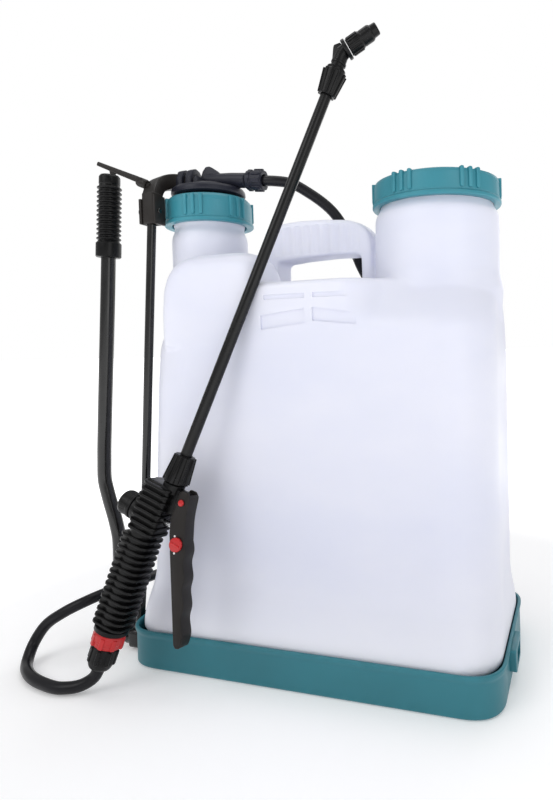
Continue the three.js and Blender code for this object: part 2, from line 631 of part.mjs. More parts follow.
function trigger() {
  const { pinX, pinS, pinR, halfY, inner, shell, crown: crownX } = TRIGGER;
  const outer = slabXZ(polygon(TRIGGER_OUTLINE), -halfY, halfY);
  const inside = TRIGGER_OUTLINE.map(([x, s]) => [x - shell, s + (s > 60 ? 0 : shell)]);
  const hollow = slabXZ(polygon(inside), -inner, inner);
  const crown = box(-5, -inner, 128, crownX, inner, 160);
  const pinHole = alongY(rod(pinR + GAP, -20, 20)).translate([pinX, 0, pinS]);
  const lockHole = alongY(rod(LOCK.hole, -20, -inner + CUT)).translate([LOCK.x, 0, LOCK.s]);
  return cut(outer, hollow, crown, pinHole, lockHole);
}

function valvePlunger() {
  const stem = rod(VALVE.stem, -22, VALVE.stemEnd, 16);
  const seal = rod(VALVE.bore - 0.4, -9, -4);
  return alongX(union(stem, seal));
}

function valveSpring() {
  const turns = 3;
  const points = [];
  for (let i = 0; i <= turns * 10; i += 1) {
    const angle = (i / 10) * 2 * Math.PI;
    const x = VALVE.springAt + (i / (turns * 10)) * VALVE.springLength;
    points.push([x, 5.4 * Math.cos(angle), 5.4 * Math.sin(angle)]);
  }
  return sweep(circle(0.8), points, turns * 10, 2);
}

function coneNut({ low, high, s0, s1 }) {
  const bore = LANCE.outer + GAP;
  const body = revolve([[bore, s0], [low - 1, s0], [high - 1, s1], [bore, s1], [bore, s0]], 18);
  const ribs = [];
  for (let i = 0; i < 8; i += 1) {
    const shape = polygon([[bore + 1, s0 + 2], [low, s0 + 2], [high, s1 - 2], [bore + 1, s1 - 2]]);
    ribs.push(slabXZ(shape, -1.1, 1.1).rotate([0, 0, i * 45]));
  }
  return union(body, ...ribs);
}

function atNozzle(body) {
  return body.rotate([0, NOZZLE.tilt, 0]).translate([NOZZLE.x, 0, NOZZLE.s]);
}

function elbow() {
  const path = [[0, 0, 579], [0, 0, 590], [0, 0, 596], [NOZZLE.x + 0.6, 0, NOZZLE.s + 0.6]];
  const bend = sweep(circle(6.8), path, 8);
  const seat = union(atNozzle(rod(10.2, 1.5, 5.2)), atNozzle(rod(6.8, -5, 2)));
  const web = polygon([[-5.5, 584], [-11, 600.5], [-11.5, 603.5], [-6, 607], [0, 603], [1, 590]]);
  const gusset = slabXZ(web, -2, 2);
  const collar = rod(9.5, 578.3, 582);
  const passage = rod(2.5, 570, NOZZLE.s, 12);
  return cut(union(bend, seat, gusset, collar), passage, atNozzle(rod(2.5, -2, 20, 12)));
}

function nozzleCap() {
  const shell = revolve([
    [0.8, 5.6], [8.6, 5.6], [8.6, 18.4], [8, 19.2], [8, 29], [6.6, 30.5], [6.2, 36], [0.8, 36], [0.8, 5.6],
  ], 18);
  const ribs = [];
  for (let i = 0; i < 8; i += 1) ribs.push(box(6, -1.1, 7, 9.2, 1.1, 17.5).rotate([0, 0, i * 45]));
  return union(shell, ...ribs);
}

function handleGroup() {
  const nutShape = new THREE.Shape();
  for (let i = 0; i < 8; i += 1) {
    const angle = (i + 0.5) * Math.PI / 4;
    nutShape[i ? 'lineTo' : 'moveTo'](17 * Math.cos(angle), 17 * Math.sin(angle));
  }
  const inletNut = cut(slabXY(nutShape, -14, -GAP), rod(HOSE_R + 2, -20, 5));
  const ferrule = revolve([
    [HOSE_R + GAP, -33], [12.5, -33], [14.5, -29], [14.5, -14.3], [HOSE_R + GAP, -14.3], [HOSE_R + GAP, -33],
  ], 18);
  const filter = revolve([[6, 12], [8, 12], [8, 86], [0, 86], [0, 84], [6, 84], [6, 12]], 20);
  return group('handle_group', [HANDLE_TUBE.x, 0, 0], [0, HANDLE_TUBE.tilt, 0],
    node('inlet_nut', inletNut, 'red'),
    node('hose_ferrule', ferrule, 'black'),
    node('wand_filter', filter, 'clear'),
  );
}

function valveGroup() {
  const { cap: end, capR, boss } = VALVE;
  const profile = [[0, end], [capR - 1.5, end], [capR, end + 2], [capR, boss - GAP], [0, boss - GAP]];
  const cap = revolve(profile, 18);
  return group('valve_group', [0, 0, VALVE.s], [0, 0, 0],
    node('valve_cap', alongX(cap), 'black'),
    node('valve_plunger', valvePlunger(), 'steel'),
    node('valve_spring', valveSpring(), 'steel'),
  );
}

function triggerPin() {
  const half = TRIGGER.halfY + 2;
  return alongY(rod(TRIGGER.pinR, -half, half, 16)).translate([TRIGGER.pinX, 0, TRIGGER.pinS]);
}

function triggerLock() {
  const { radius, stem, face, top, inner } = LOCK;
  const dial = union(rod(radius, face, top), rod(stem, inner, face + CUT, 16));
  return dial.rotate([90, 0, 0]).translate([LOCK.x, 0, LOCK.s]);
}

function wandGroup() {
  return group('wand_group', WAND.at, [WAND.tiltX, WAND.tiltY, 0],
    node('wand_handle', wandHandle(), 'black'),
    handleGroup(),
    valveGroup(),
    node('trigger', trigger(), 'black'),
    node('trigger_pin', triggerPin(), 'red'),
    node('trigger_lock', triggerLock(), 'red'),
    node('lance_nut', coneNut(LANCE_NUT), 'black'),
    node('lance_tube', ring(LANCE.outer, LANCE.inner, LANCE.s0, LANCE.s1, 20), 'black'),
    node('tip_nut', coneNut(TIP_NUT), 'black'),
    node('lance_elbow', elbow(), 'black'),
    group('nozzle_group', [NOZZLE.x, 0, NOZZLE.s], [0, NOZZLE.tilt, 0],
      node('nozzle_cap', nozzleCap(), 'black')),
  );
}

// ---------- hose and straps ----------

const HOSE_UPPER = [
  [-72.5, 0, 513.4], [-60, 0, 511.6], [-46, 6, 510], [-22, 16, 497], [6, 26, 470], [22, 36, 432],
  [24, 62, 406], [24, 92, 396], [24, 104, 372], [24, 104, 332],
];
const HOSE_LOWER = [
  [24, 104, 331.7], [20, 103, 260], [-10, 102, 160], [-90, 103, 84], [-180, 108, 58], [-222, 84, 52],
  [-232, 30, 52], [-234, -30, 58], [-238, -66, 61], [-250, -94, 58], [-270, -107, 48], [-289, -113, 34],
  [-297, -121, 17], [-291, -134, 7], [-270, -152, 6], [-240, -163, 5.9], [-214, -164.5, 6], [-196, -158, 8.5],
  [-186, -153.3, 15], [-180.8, -151.2, 25],
];

function strapPad(side) {
  const x = (offset) => side * offset;
  const shape = roundedRect(-STRAP.width / 2, -STRAP.thickness / 2, STRAP.width / 2, STRAP.thickness / 2, 4);
  return sweep(shape, [
    [x(74), 122, 392], [x(80), 146, 360], [x(90), 166, 290], [x(104), 164, 200], [x(115), 140, 110],
  ], 8, 2);
}

function strapBuckle(side) {
  const { x, y, z, halfX, halfY, halfZ, slotHalfX, slots } = BUCKLE;
  const frame = box(-halfX, -halfY, -halfZ, halfX, halfY, halfZ);
  const tools = slots.map(([low, high]) => box(-slotHalfX, -halfY - CUT, low, slotHalfX, halfY + CUT, high));
  return cut(frame, ...tools).translate([side * x, y, z]);
}

function hoseClip() {
  const { x, y, z, halfX, halfZ, back, bore } = HOSE_CLIP;
  const block = box(x - halfX, TANK.halfY + GAP, z - halfZ, x + halfX, y + back, z + halfZ);
  return cut(block, rod(bore, z - 10, z + 10).translate([x, y, 0]));
}

// ---------- assembly ----------

const sprayer = group('backpack_sprayer', [0, 0, 0], [0, 0, 0],
  node('tank', tank(), 'tank'),
  node('base_skirt', baseSkirt(), 'teal'),
  node('shaft_bush', shaftBush(), 'black'),
  leftNeckGroup(),
  node('filler_strainer', basket().translate([RIGHT_NECK.x, 0, 0]), 'black'),
  node('lid_gasket', ring(LID_GASKET.outer, LID_GASKET.inner, LID_GASKET.z0, LID_GASKET.z1)
    .translate([RIGHT_NECK.x, 0, 0]), 'rubber'),
  node('filler_lid', fillerLid().translate([RIGHT_NECK.x, 0, 0]), 'lid'),
  node('drive_arm', driveArm(), 'arm'),
  node('drive_rod', driveRod(), 'paintedSteel'),
  node('clamp_screw', clampScrew(), 'steel'),
  leverGroup(),
  wandGroup(),
  node('hose_upper', sweep(circle(HOSE_R), HOSE_UPPER, 28), 'rubber'),
  node('hose_lower', sweep(circle(HOSE_R), HOSE_LOWER, 56), 'rubber'),
  node('hose_clip', hoseClip(), 'black'),
  node('strap_left', strapPad(-1), 'webbing'),
  node('strap_right', strapPad(1), 'webbing'),
  node('strap_buckle_left', strapBuckle(-1), 'black'),
  node('strap_buckle_right', strapBuckle(1), 'black'),
);

export default sprayer;
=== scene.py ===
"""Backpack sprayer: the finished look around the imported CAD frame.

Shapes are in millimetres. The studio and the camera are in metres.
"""

import json
import math

import bmesh
import bpy
import numpy as np
from mathutils import Matrix, Vector


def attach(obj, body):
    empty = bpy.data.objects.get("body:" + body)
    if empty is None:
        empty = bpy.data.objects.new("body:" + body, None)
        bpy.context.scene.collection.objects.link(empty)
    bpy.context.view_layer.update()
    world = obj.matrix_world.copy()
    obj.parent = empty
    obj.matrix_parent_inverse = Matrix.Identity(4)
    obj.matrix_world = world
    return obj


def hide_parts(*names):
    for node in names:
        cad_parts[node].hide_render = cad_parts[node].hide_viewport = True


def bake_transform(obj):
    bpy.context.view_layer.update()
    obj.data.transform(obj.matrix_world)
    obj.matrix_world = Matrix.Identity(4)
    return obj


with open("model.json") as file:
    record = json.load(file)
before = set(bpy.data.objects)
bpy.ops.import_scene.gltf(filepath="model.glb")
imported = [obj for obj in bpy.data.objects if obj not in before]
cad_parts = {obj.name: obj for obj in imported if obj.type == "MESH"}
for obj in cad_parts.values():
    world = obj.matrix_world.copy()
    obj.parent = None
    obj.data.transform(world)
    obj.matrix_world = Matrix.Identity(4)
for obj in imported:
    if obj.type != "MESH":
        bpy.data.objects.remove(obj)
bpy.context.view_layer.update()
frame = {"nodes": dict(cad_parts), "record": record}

MM = 0.001
BODY = "tank_and_base"

# ---------- driving dimensions ----------
LEFT_NECK_X = -141.0
RIGHT_NECK_X = 125.0
WAND_AT = (-163.85, -146.48, 56.5)
WAND_TILT = (-9.63, 20.72)
GRIP_OFFSET_X = -7.0
GRIP_TILT = -3.2
LEVER_AT = (0.0, -28.0, 14.0)
OUTLET_AT = (-121.0, 0.0, 518.5)
OUTLET_SLOPE = 6.0
NOZZLE_AT = (0.8, 0.0, 600.0)
NOZZLE_TILT = 41.0
HOSE_RADIUS = 5.75


# ---------- mesh helpers ----------
def smoothstep(value, low, high):
    t = min(1.0, max(0.0, (value - low) / (high - low)))
    return t * t * (3 - 2 * t)


def new_object(name, verts, faces):
    mesh = bpy.data.meshes.new(name)
    mesh.from_pydata([tuple(c * MM for c in v) for v in verts], [], faces)
    work = bmesh.new()
    work.from_mesh(mesh)
    bmesh.ops.remove_doubles(work, verts=work.verts, dist=1e-7)
    bmesh.ops.recalc_face_normals(work, faces=work.faces)
    work.to_mesh(mesh)
    work.free()
    obj = bpy.data.objects.new(name, mesh)
    bpy.context.scene.collection.objects.link(obj)
    return obj


def bake(obj):
    """Applies every modifier of obj."""
    bpy.context.view_layer.update()
    graph = bpy.context.evaluated_depsgraph_get()
    mesh = bpy.data.meshes.new_from_object(obj.evaluated_get(graph))
    obj.modifiers.clear()
    obj.data = mesh
    return obj


def shade(obj, angle_deg=32):
    limit = math.radians(angle_deg)
    work = bmesh.new()
    work.from_mesh(obj.data)
    for face in work.faces:
        face.smooth = True
    for edge in work.edges:
        edge.smooth = not edge.is_manifold or edge.calc_face_angle(0) < limit
    work.to_mesh(obj.data)
    work.free()
    return obj


def bevel(obj, width, segments=2, angle_deg=34):
    modifier = obj.modifiers.new("bevel", "BEVEL")
    modifier.width = width * MM
    modifier.segments = segments
    modifier.limit_method = "ANGLE"
    modifier.angle_limit = math.radians(angle_deg)
    modifier.use_clamp_overlap = True
    return bake(obj)


def boolean(target, tools, operation):
    for tool in tools:
        modifier = target.modifiers.new(operation, "BOOLEAN")
        modifier.operation = operation
        modifier.solver = "EXACT"
        modifier.object = tool
    bake(target)
    for tool in tools:
        bpy.data.objects.remove(tool, do_unlink=True)
    return target


def union(target, *tools):
    return boolean(target, tools, "UNION")


def cut(target, *tools):
    return boolean(target, tools, "DIFFERENCE")


def move(obj, matrix):
    obj.data.transform(matrix)
    return obj


def shift(x, y, z):
    return Matrix.Translation((x * MM, y * MM, z * MM))


def turn(angle_deg, axis):
    return Matrix.Rotation(math.radians(angle_deg), 4, axis)


def fillet(points, radius, steps=4, closed=False):
    """Rounds the corners of a 2-D polyline."""
    pts = [np.array(p, float) for p in points]
    count = len(pts)
    out = []
    for i, here in enumerate(pts):
        if not closed and i in (0, count - 1):
            out.append(tuple(here))
            continue
        before, after = pts[i - 1], pts[(i + 1) % count]
        a, b = before - here, after - here
        la, lb = np.linalg.norm(a), np.linalg.norm(b)
        cosine = float(np.dot(a, b) / (la * lb))
        if cosine < -0.995:
            out.append(tuple(here))
            continue
        half = math.acos(max(-1.0, min(1.0, cosine))) / 2
        reach = min(radius / math.tan(half), 0.45 * la, 0.45 * lb)
        start, end = here + a / la * reach, here + b / lb * reach
        for k in range(steps + 1):
            t = k / steps
            out.append(tuple((1 - t) ** 2 * start + 2 * t * (1 - t) * here + t * t * end))
    return out


def rounded(outline, radius, steps=3):
    """Rounds every corner of a closed outline."""
    return fillet(outline, radius, steps, closed=True)


def circle(radius, count):
    angles = [2 * math.pi * i / count for i in range(count)]
    return [(radius * math.cos(a), radius * math.sin(a)) for a in angles]


def rounded_rect(width, depth, radius, steps=6):
    x, y = width / 2, depth / 2
    return rounded([(x, -y), (x, y), (-x, y), (-x, -y)], radius, steps)


def lathe(name, profile, segments=64, radius=0.0, closed=False):
    """Turns an (r, z) profile about Z. An open profile starts and ends on the axis."""
    if radius:
        profile = fillet(profile, radius, 3, closed)
    verts, faces, rings = [], [], []
    for r, z in profile:
        if r < 1e-6:
            rings.append([len(verts)])
            verts.append((0, 0, z))
        else:
            rings.append(list(range(len(verts), len(verts) + segments)))
            verts += [(r * math.cos(2 * math.pi * i / segments), r * math.sin(2 * math.pi * i / segments), z)
                      for i in range(segments)]
    pairs = list(zip(rings, rings[1:] + ([rings[0]] if closed else [])))
    for low, high in pairs if closed else pairs[: len(rings) - 1]:
        for i in range(segments):
            j = (i + 1) % segments
            corners = [low[i % len(low)], low[j % len(low)], high[j % len(high)], high[i % len(high)]]
            unique = list(dict.fromkeys(corners))
            if len(unique) > 2:
                faces.append(unique)
    return new_object(name, verts, faces)


def cylinder(name, radius, low, high, segments, round_edges=0.0):
    """A solid rod about Z."""
    return lathe(name, [(0, low), (radius, low), (radius, high), (0, high)], segments, round_edges)


def prism(name, outline, low, high, plane="XY", round_edges=0.0, segments=2):
    """Extrudes a 2-D outline between low and high, square to its plane."""
    place = {
        "XY": lambda a, b, c: (a, b, c),
        "XZ": lambda a, b, c: (a, c, b),
        "YZ": lambda a, b, c: (c, a, b),
    }[plane]
    count = len(outline)
    verts = [place(a, b, low) for a, b in outline] + [place(a, b, high) for a, b in outline]
    faces = [list(range(count)), list(range(count, 2 * count))]
    faces += [[i, (i + 1) % count, count + (i + 1) % count, count + i] for i in range(count)]
    obj = new_object(name, verts, faces)
    return bevel(obj, round_edges, segments) if round_edges else obj


def block(name, low, high, round_edges=0.0, segments=2):
    outline = [(low[0], low[1]), (high[0], low[1]), (high[0], high[1]), (low[0], high[1])]
    return prism(name, outline, low[2], high[2], "XY", round_edges, segments)


def smooth_path(points, step):
    """Points every step or so along a smooth curve through the given ones."""
    pts = np.array(points, float)
    chord = np.linalg.norm(np.diff(pts, axis=0), axis=1)
    slope = np.diff(pts, axis=0) / chord[:, None]
    tangent = np.empty_like(pts)
    tangent[0], tangent[-1] = slope[0], slope[-1]
    weight = (chord[:-1] / (chord[:-1] + chord[1:]))[:, None]
    tangent[1:-1] = slope[:-1] * (1 - weight) + slope[1:] * weight
    out = []
    for i, length in enumerate(chord):
        count = max(1, round(length / step))
        for k in range(count):
            u = k / count
            h = (2 * u**3 - 3 * u**2 + 1, u**3 - 2 * u**2 + u, -2 * u**3 + 3 * u**2, u**3 - u**2)
            out.append(h[0] * pts[i] + h[1] * length * tangent[i] + h[2] * pts[i + 1]
                       + h[3] * length * tangent[i + 1])
    out.append(pts[-1])
    return np.array(out)


def path_frames(path, up=(0.0, 0.0, 1.0)):
    """Tangent, side and normal at each point, carried along without twist."""
    tangents = np.gradient(path, axis=0)
    tangents /= np.linalg.norm(tangents, axis=1)[:, None]
    normal = np.array(up, float)
    if abs(np.dot(normal, tangents[0])) > 0.95:
        normal = np.array((0.0, 1.0, 0.0))
    frames = []
    for tangent in tangents:
        normal = normal - tangent * np.dot(normal, tangent)
        normal /= np.linalg.norm(normal)
        frames.append((tangent, np.cross(tangent, normal), normal))
    return frames


def ring_faces(rings, count):
    """Faces that join each ring of count points to the next."""
    faces = []
    for base in range(0, (rings - 1) * count, count):
        faces += [[base + i, base + (i + 1) % count, base + count + (i + 1) % count, base + count + i]
                  for i in range(count)]
    return faces


def sweep(name, points, section, step=3.0, up=(0.0, 0.0, 1.0), scale=None):
    """Carries a closed 2-D section along a smooth path. scale(t) gives the section's size from 0 to 1."""
    path = smooth_path(points, step)
    count = len(section)
    verts = []
    for k, (point, (_, side, normal)) in enumerate(zip(path, path_frames(path, up))):
        factor = scale(k / (len(path) - 1)) if scale else 1.0
        if not isinstance(factor, tuple):
            factor = (factor, factor)
        verts += [tuple(point + side * a * factor[0] + normal * b * factor[1]) for a, b in section]
    caps = [list(range(count)), list(range(len(verts) - count, len(verts)))]
    return new_object(name, verts, ring_faces(len(path), count) + caps)


def loft(name, rings):
    """A closed skin over rings that all have the same number of points."""
    count = len(rings[0])
    verts = [tuple(p) for ring in rings for p in ring]
    caps = [list(range(count)), list(range(len(verts) - count, len(verts)))]
    return new_object(name, verts, caps + ring_faces(len(rings), count))


def remesh(obj, voxel, smooth_rounds):
    modifier = obj.modifiers.new("remesh", "REMESH")
    modifier.mode = "VOXEL"
    modifier.voxel_size = voxel * MM
    modifier.use_smooth_shade = True
    relax = obj.modifiers.new("relax", "SMOOTH")
    relax.factor = 0.5
    relax.iterations = smooth_rounds
    return bake(obj)


def join(name, *objs):
    """One object that holds every given mesh, not yet merged."""
    work = bmesh.new()
    for obj in objs:
        work.from_mesh(obj.data)
        bpy.data.objects.remove(obj, do_unlink=True)
    mesh = bpy.data.meshes.new(name)
    work.to_mesh(mesh)
    work.free()
    out = bpy.data.objects.new(name, mesh)
    bpy.context.scene.collection.objects.link(out)
    return out


def piece(obj, name, material, body, nodes=(), angle=32):
    """Finishes a mesh: name, shading, material, the body it rides on and the CAD nodes it stands for."""
    obj.name = name
    obj.data.name = name
    obj.data.materials.clear()
    obj.data.materials.append(material)
    shade(obj, angle)
    if nodes:
        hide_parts(*nodes)
    if body:
        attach(obj, body)
    return obj


def wand_matrix():
    place = Matrix.Translation(Vector(WAND_AT) * MM)
    return place @ turn(WAND_TILT[0], "X") @ turn(WAND_TILT[1], "Y")


def grip_matrix():
    return wand_matrix() @ shift(GRIP_OFFSET_X, 0, 0) @ turn(GRIP_TILT, "Y")


def nozzle_matrix():
    return wand_matrix() @ shift(*NOZZLE_AT) @ turn(NOZZLE_TILT, "Y")


def outlet_matrix():
    return shift(*OUTLET_AT) @ turn(OUTLET_SLOPE, "Y") @ turn(90, "Y")


# ---------- materials ----------
class Nodes:
    """A small helper that builds one node material."""

    def __init__(self, name, color, roughness):
        self.material = bpy.data.materials.new(name)
        self.material.use_nodes = True
        self.tree = self.material.node_tree
        self.shader = self.tree.nodes["Principled BSDF"]
        self.shader.inputs["Base Color"].default_value = (*color, 1.0)
        self.shader.inputs["Roughness"].default_value = roughness
        self.coords = self.tree.nodes.new("ShaderNodeTexCoord").outputs["Object"]

    def add(self, kind, **inputs):
        made = self.tree.nodes.new(kind)
        for key, value in inputs.items():
            if isinstance(value, bpy.types.NodeSocket):
                self.tree.links.new(value, made.inputs[key.replace("_", " ")])
            else:
                made.inputs[key.replace("_", " ")].default_value = value
        return made

    def noise(self, scale, detail=3.0, stretch=(1, 1, 1)):
        mapping = self.add("ShaderNodeMapping", Vector=self.coords, Scale=stretch)
        return self.add("ShaderNodeTexNoise", Vector=mapping.outputs[0], Scale=scale,
                        Detail=detail).outputs["Fac"]

    def ramp(self, factor, low, high, value_low, value_high):
        made = self.add("ShaderNodeMapRange", Value=factor)
        made.inputs["From Min"].default_value = low
        made.inputs["From Max"].default_value = high
        made.inputs["To Min"].default_value = value_low
        made.inputs["To Max"].default_value = value_high
        return made.outputs[0]

    def mix_color(self, factor, first, second):
        made = self.tree.nodes.new("ShaderNodeMix")
        made.data_type = "RGBA"
        self.tree.links.new(factor, made.inputs["Factor"])
        for socket, value in (("A", first), ("B", second)):
            target = [s for s in made.inputs if s.name == socket and s.type == "RGBA"][0]
            if isinstance(value, bpy.types.NodeSocket):
                self.tree.links.new(value, target)
            else:
                target.default_value = (*value, 1.0)
        return [s for s in made.outputs if s.type == "RGBA"][0]

    def math(self, operation, first, second=0.0):
        made = self.tree.nodes.new("ShaderNodeMath")
        made.operation = operation
        for index, value in enumerate((first, second)):
            if isinstance(value, bpy.types.NodeSocket):
                self.tree.links.new(value, made.inputs[index])
            else:
                made.inputs[index].default_value = value
        return made.outputs[0]

    def bump(self, height, distance, strength=1.0, below=None):
        made = self.add("ShaderNodeBump", Height=height, Distance=distance * MM, Strength=strength)
        if below is not None:
            self.tree.links.new(below, made.inputs["Normal"])
        return made.outputs[0]

    def connect(self, name, socket):
        self.tree.links.new(socket, self.shader.inputs[name])

    def edge(self):
        """1 on worn convex edges, 0 elsewhere."""
        point = self.tree.nodes.new("ShaderNodeNewGeometry").outputs["Pointiness"]
        return self.ramp(point, 0.5, 0.58, 0.0, 1.0)


def plastic(name, color, roughness, variation=0.12, grain=0.03, edge_light=0.25, coat=0.0, shine=0.5):
    """Moulded plastic: fine grain, soft cloudy tone, slightly lighter rubbed edges."""
    n = Nodes(name, color, roughness)
    cloud = n.noise(9.0, 4.0)
    fine = n.noise(900.0, 2.0)
    dark = tuple(c * (1 - variation) for c in color)
    light = tuple(min(1.0, c * (1 + variation) + 0.001) for c in color)
    tone = n.mix_color(n.ramp(cloud, 0.3, 0.7, 0.0, 1.0), dark, light)
    rubbed = tuple(min(1.0, c * 1.5 + 0.008) for c in color)
    worn = n.math("MULTIPLY", n.edge(), n.ramp(n.noise(60.0), 0.4, 0.65, 0.0, edge_light))
    n.connect("Base Color", n.mix_color(worn, tone, rubbed))
    n.connect("Roughness", n.ramp(n.noise(35.0, 5.0), 0.3, 0.7, roughness - 0.07, roughness + 0.08))
    n.connect("Normal", n.bump(fine, grain, 0.6))
    n.shader.inputs["Coat Weight"].default_value = coat
    n.shader.inputs["Specular IOR Level"].default_value = shine
    return n.material


def metal(name, color, roughness, painted=False):
    """Drawn steel with streaks along its length, bare or painted."""
    n = Nodes(name, color, roughness)
    n.shader.inputs["Metallic"].default_value = 0.0 if painted else 1.0
    streak = n.noise(700.0, 3.0, (1, 1, 0.03))
    tone = n.mix_color(n.ramp(streak, 0.3, 0.7, 0.0, 1.0), tuple(c * 0.86 for c in color), color)
    n.connect("Base Color", tone)
    n.connect("Roughness", n.ramp(n.noise(40.0, 4.0), 0.3, 0.7, roughness - 0.06, roughness + 0.1))
    n.connect("Normal", n.bump(streak, 0.02, 0.35))
    n.shader.inputs["Coat Weight"].default_value = 0.25 if painted else 0.0
    n.shader.inputs["Specular IOR Level"].default_value = 0.4
    n.shader.inputs["Coat Roughness"].default_value = 0.12
    return n.material


def tank_plastic():
    """Blow-moulded polythene: milky, light passing into it, faint flow clouds, a fine skin, and painted light
    that makes it paler towards the bottom.
    """
    n = Nodes("tank_polythene", (0.80, 0.81, 0.875), 0.4)
    height = n.tree.nodes.new("ShaderNodeSeparateXYZ")
    n.tree.links.new(n.coords, height.inputs[0])
    # painted light: below about 120 mm the colour pales towards a lighter blue-white, standing in for light
    # glowing through the translucent foot
    low = n.ramp(height.outputs["Z"], 0.05, 0.12, 1.0, 0.0)
    cloud = n.noise(5.0, 4.0, (1, 1, 1.8))
    base = n.mix_color(n.ramp(cloud, 0.35, 0.65, 0.0, 1.0), (0.685, 0.705, 0.82), (0.745, 0.755, 0.845))
    n.connect("Base Color", n.mix_color(n.math("MULTIPLY", low, 0.6), base, (0.82, 0.835, 0.90)))
    n.shader.inputs["Subsurface Weight"].default_value = 0.35
    n.shader.inputs["Subsurface Radius"].default_value = (1.0, 1.0, 1.1)
    n.shader.inputs["Subsurface Scale"].default_value = 0.012
    n.connect("Roughness", n.ramp(n.noise(22.0, 4.0), 0.3, 0.7, 0.34, 0.48))
    skin = n.bump(n.noise(420.0, 3.0), 0.05, 0.5)
    wave = n.bump(n.noise(14.0, 2.0), 0.5, 0.35, below=skin)
    n.connect("Normal", wave)
    return n.material


def clear_plastic():
    n = Nodes("natural_plastic", (0.72, 0.75, 0.77), 0.35)
    n.shader.inputs["Subsurface Weight"].default_value = 0.2
    n.shader.inputs["Subsurface Scale"].default_value = 0.004
    n.connect("Roughness", n.ramp(n.noise(30.0), 0.3, 0.7, 0.28, 0.42))
    n.connect("Normal", n.bump(n.noise(600.0), 0.03, 0.5))
    return n.material


def weave(name, color, thread):
    """Woven webbing or cloth: two crossed sets of threads, with fuzz, colour drift and painted shade that
    darkens the gaps between threads and lightens their tops.
    """
    n = Nodes(name, color, 0.85)
    across = n.add("ShaderNodeTexWave", Vector=n.coords, Scale=1000.0 / thread / 2.2)
    across.bands_direction = "X"
    along = n.add("ShaderNodeTexWave", Vector=n.coords, Scale=1000.0 / thread / 2.2)
    along.bands_direction = "Z"
    thread_height = n.math("MAXIMUM", across.outputs["Fac"], along.outputs["Fac"])
    # painted shade and highlight: the colour follows the thread height, darker in the gaps between threads
    # and lighter on the thread tops
    tone = n.mix_color(thread_height, tuple(c * 0.55 for c in color), tuple(c * 1.35 for c in color))
    n.connect("Base Color", n.mix_color(n.ramp(n.noise(25.0), 0.35, 0.65, 0.0, 0.5), tone, color))
    fuzz = n.bump(n.noise(1500.0), 0.05, 0.5)
    n.connect("Normal", n.bump(thread_height, 0.35, 0.8, below=fuzz))
    n.shader.inputs["Sheen Weight"].default_value = 0.35
    n.shader.inputs["Sheen Roughness"].default_value = 0.5
    return n.material


FLOOR_GLOW = 0.22
FLOOR_FADE = (0.45, 0.95)  # metres from the object's middle


def floor_material():
    """White sweep: shadows show close to the object, and further out it gives off plain white."""
    n = Nodes("studio_floor", (0.90, 0.90, 0.91), 0.9)
    n.shader.inputs["Specular IOR Level"].default_value = 0.1
    n.shader.inputs["Emission Color"].default_value = (1.0, 1.0, 1.0, 1.0)
    n.connect("Roughness", n.ramp(n.noise(3.0), 0.3, 0.7, 0.85, 0.95))
    distance = n.tree.nodes.new("ShaderNodeVectorMath")
    distance.operation = "LENGTH"
    n.tree.links.new(n.coords, distance.inputs[0])
    n.connect("Emission Strength", n.ramp(distance.outputs["Value"], *FLOOR_FADE, FLOOR_GLOW, 1.0))
    return n.material


TANK = tank_plastic()
TEAL = plastic("teal_base", (0.026, 0.172, 0.214), 0.42, 0.08, 0.03, 0.4, shine=0.35)
TEAL_LID = plastic("teal_lid", (0.036, 0.225, 0.285), 0.40, 0.08, 0.03, 0.3, shine=0.4)
BLACK = plastic("black_moulding", (0.0035, 0.0035, 0.0038), 0.30, 0.25, 0.05, 0.12, shine=0.2)
HEAD = plastic("head_moulding", (0.015, 0.016, 0.026), 0.38, 0.15, 0.05, 0.25, shine=0.26)
ARM = plastic("arm_moulding", (0.0125, 0.0105, 0.0095), 0.44, 0.3, 0.08, 0.4, shine=0.24)
RED = plastic("red_moulding", (0.48, 0.010, 0.012), 0.33, 0.08, 0.03, 0.2, coat=0.15, shine=0.4)
HOSE = plastic("hose_rubber", (0.005, 0.005, 0.0075), 0.34, 0.25, 0.06, 0.1, shine=0.26)
RUBBER = plastic("seal_rubber", (0.014, 0.014, 0.015), 0.65, 0.2, 0.08, 0.2, shine=0.25)
LANCE = plastic("lance_tube_black", (0.0045, 0.0045, 0.0048), 0.26, 0.25, 0.04, 0.1, shine=0.28)
WHITE = plastic("white_mark", (0.85, 0.85, 0.85), 0.5, 0.03, 0.02, 0.0)
STEEL = metal("zinc_steel", (0.62, 0.63, 0.65), 0.3)
BLACK_STEEL = metal("gloss_black_steel", (0.003, 0.003, 0.003), 0.2, painted=True)
CLEAR = clear_plastic()
WEBBING = weave("strap_webbing", (0.012, 0.0125, 0.015), 1.1)
PAD_CLOTH = weave("pad_cloth", (0.016, 0.017, 0.021), 0.8)
THREAD = plastic("seam_thread", (0.16, 0.17, 0.18), 0.7, 0.1, 0.05, 0.0)


# ---------- tank ----------
TANK_VOXEL, QUICK_VOXEL = 1.9, 3.2
FOOT_Z, TOP_Z = 31.0, 390.0
HALF_X, HALF_Y = 188.0, 88.0
FOOT_FLARE = 11.5
LIP_Z = 463.0


def table_value(table, z):
    return float(np.interp(z, [row[0] for row in table], [row[1] for row in table]))


LEFT_CORNER = [(31, 38), (46, 41), (78, 50), (204, 62), (290, 73), (349, 85), (400, 87)]
RIGHT_CORNER = [(31, 38), (46, 41), (78, 50), (290, 50), (345, 56), (400, 62)]
NECK_BLEND = 42.5
ARC_STEPS = 14
SIDE_STEPS = 16


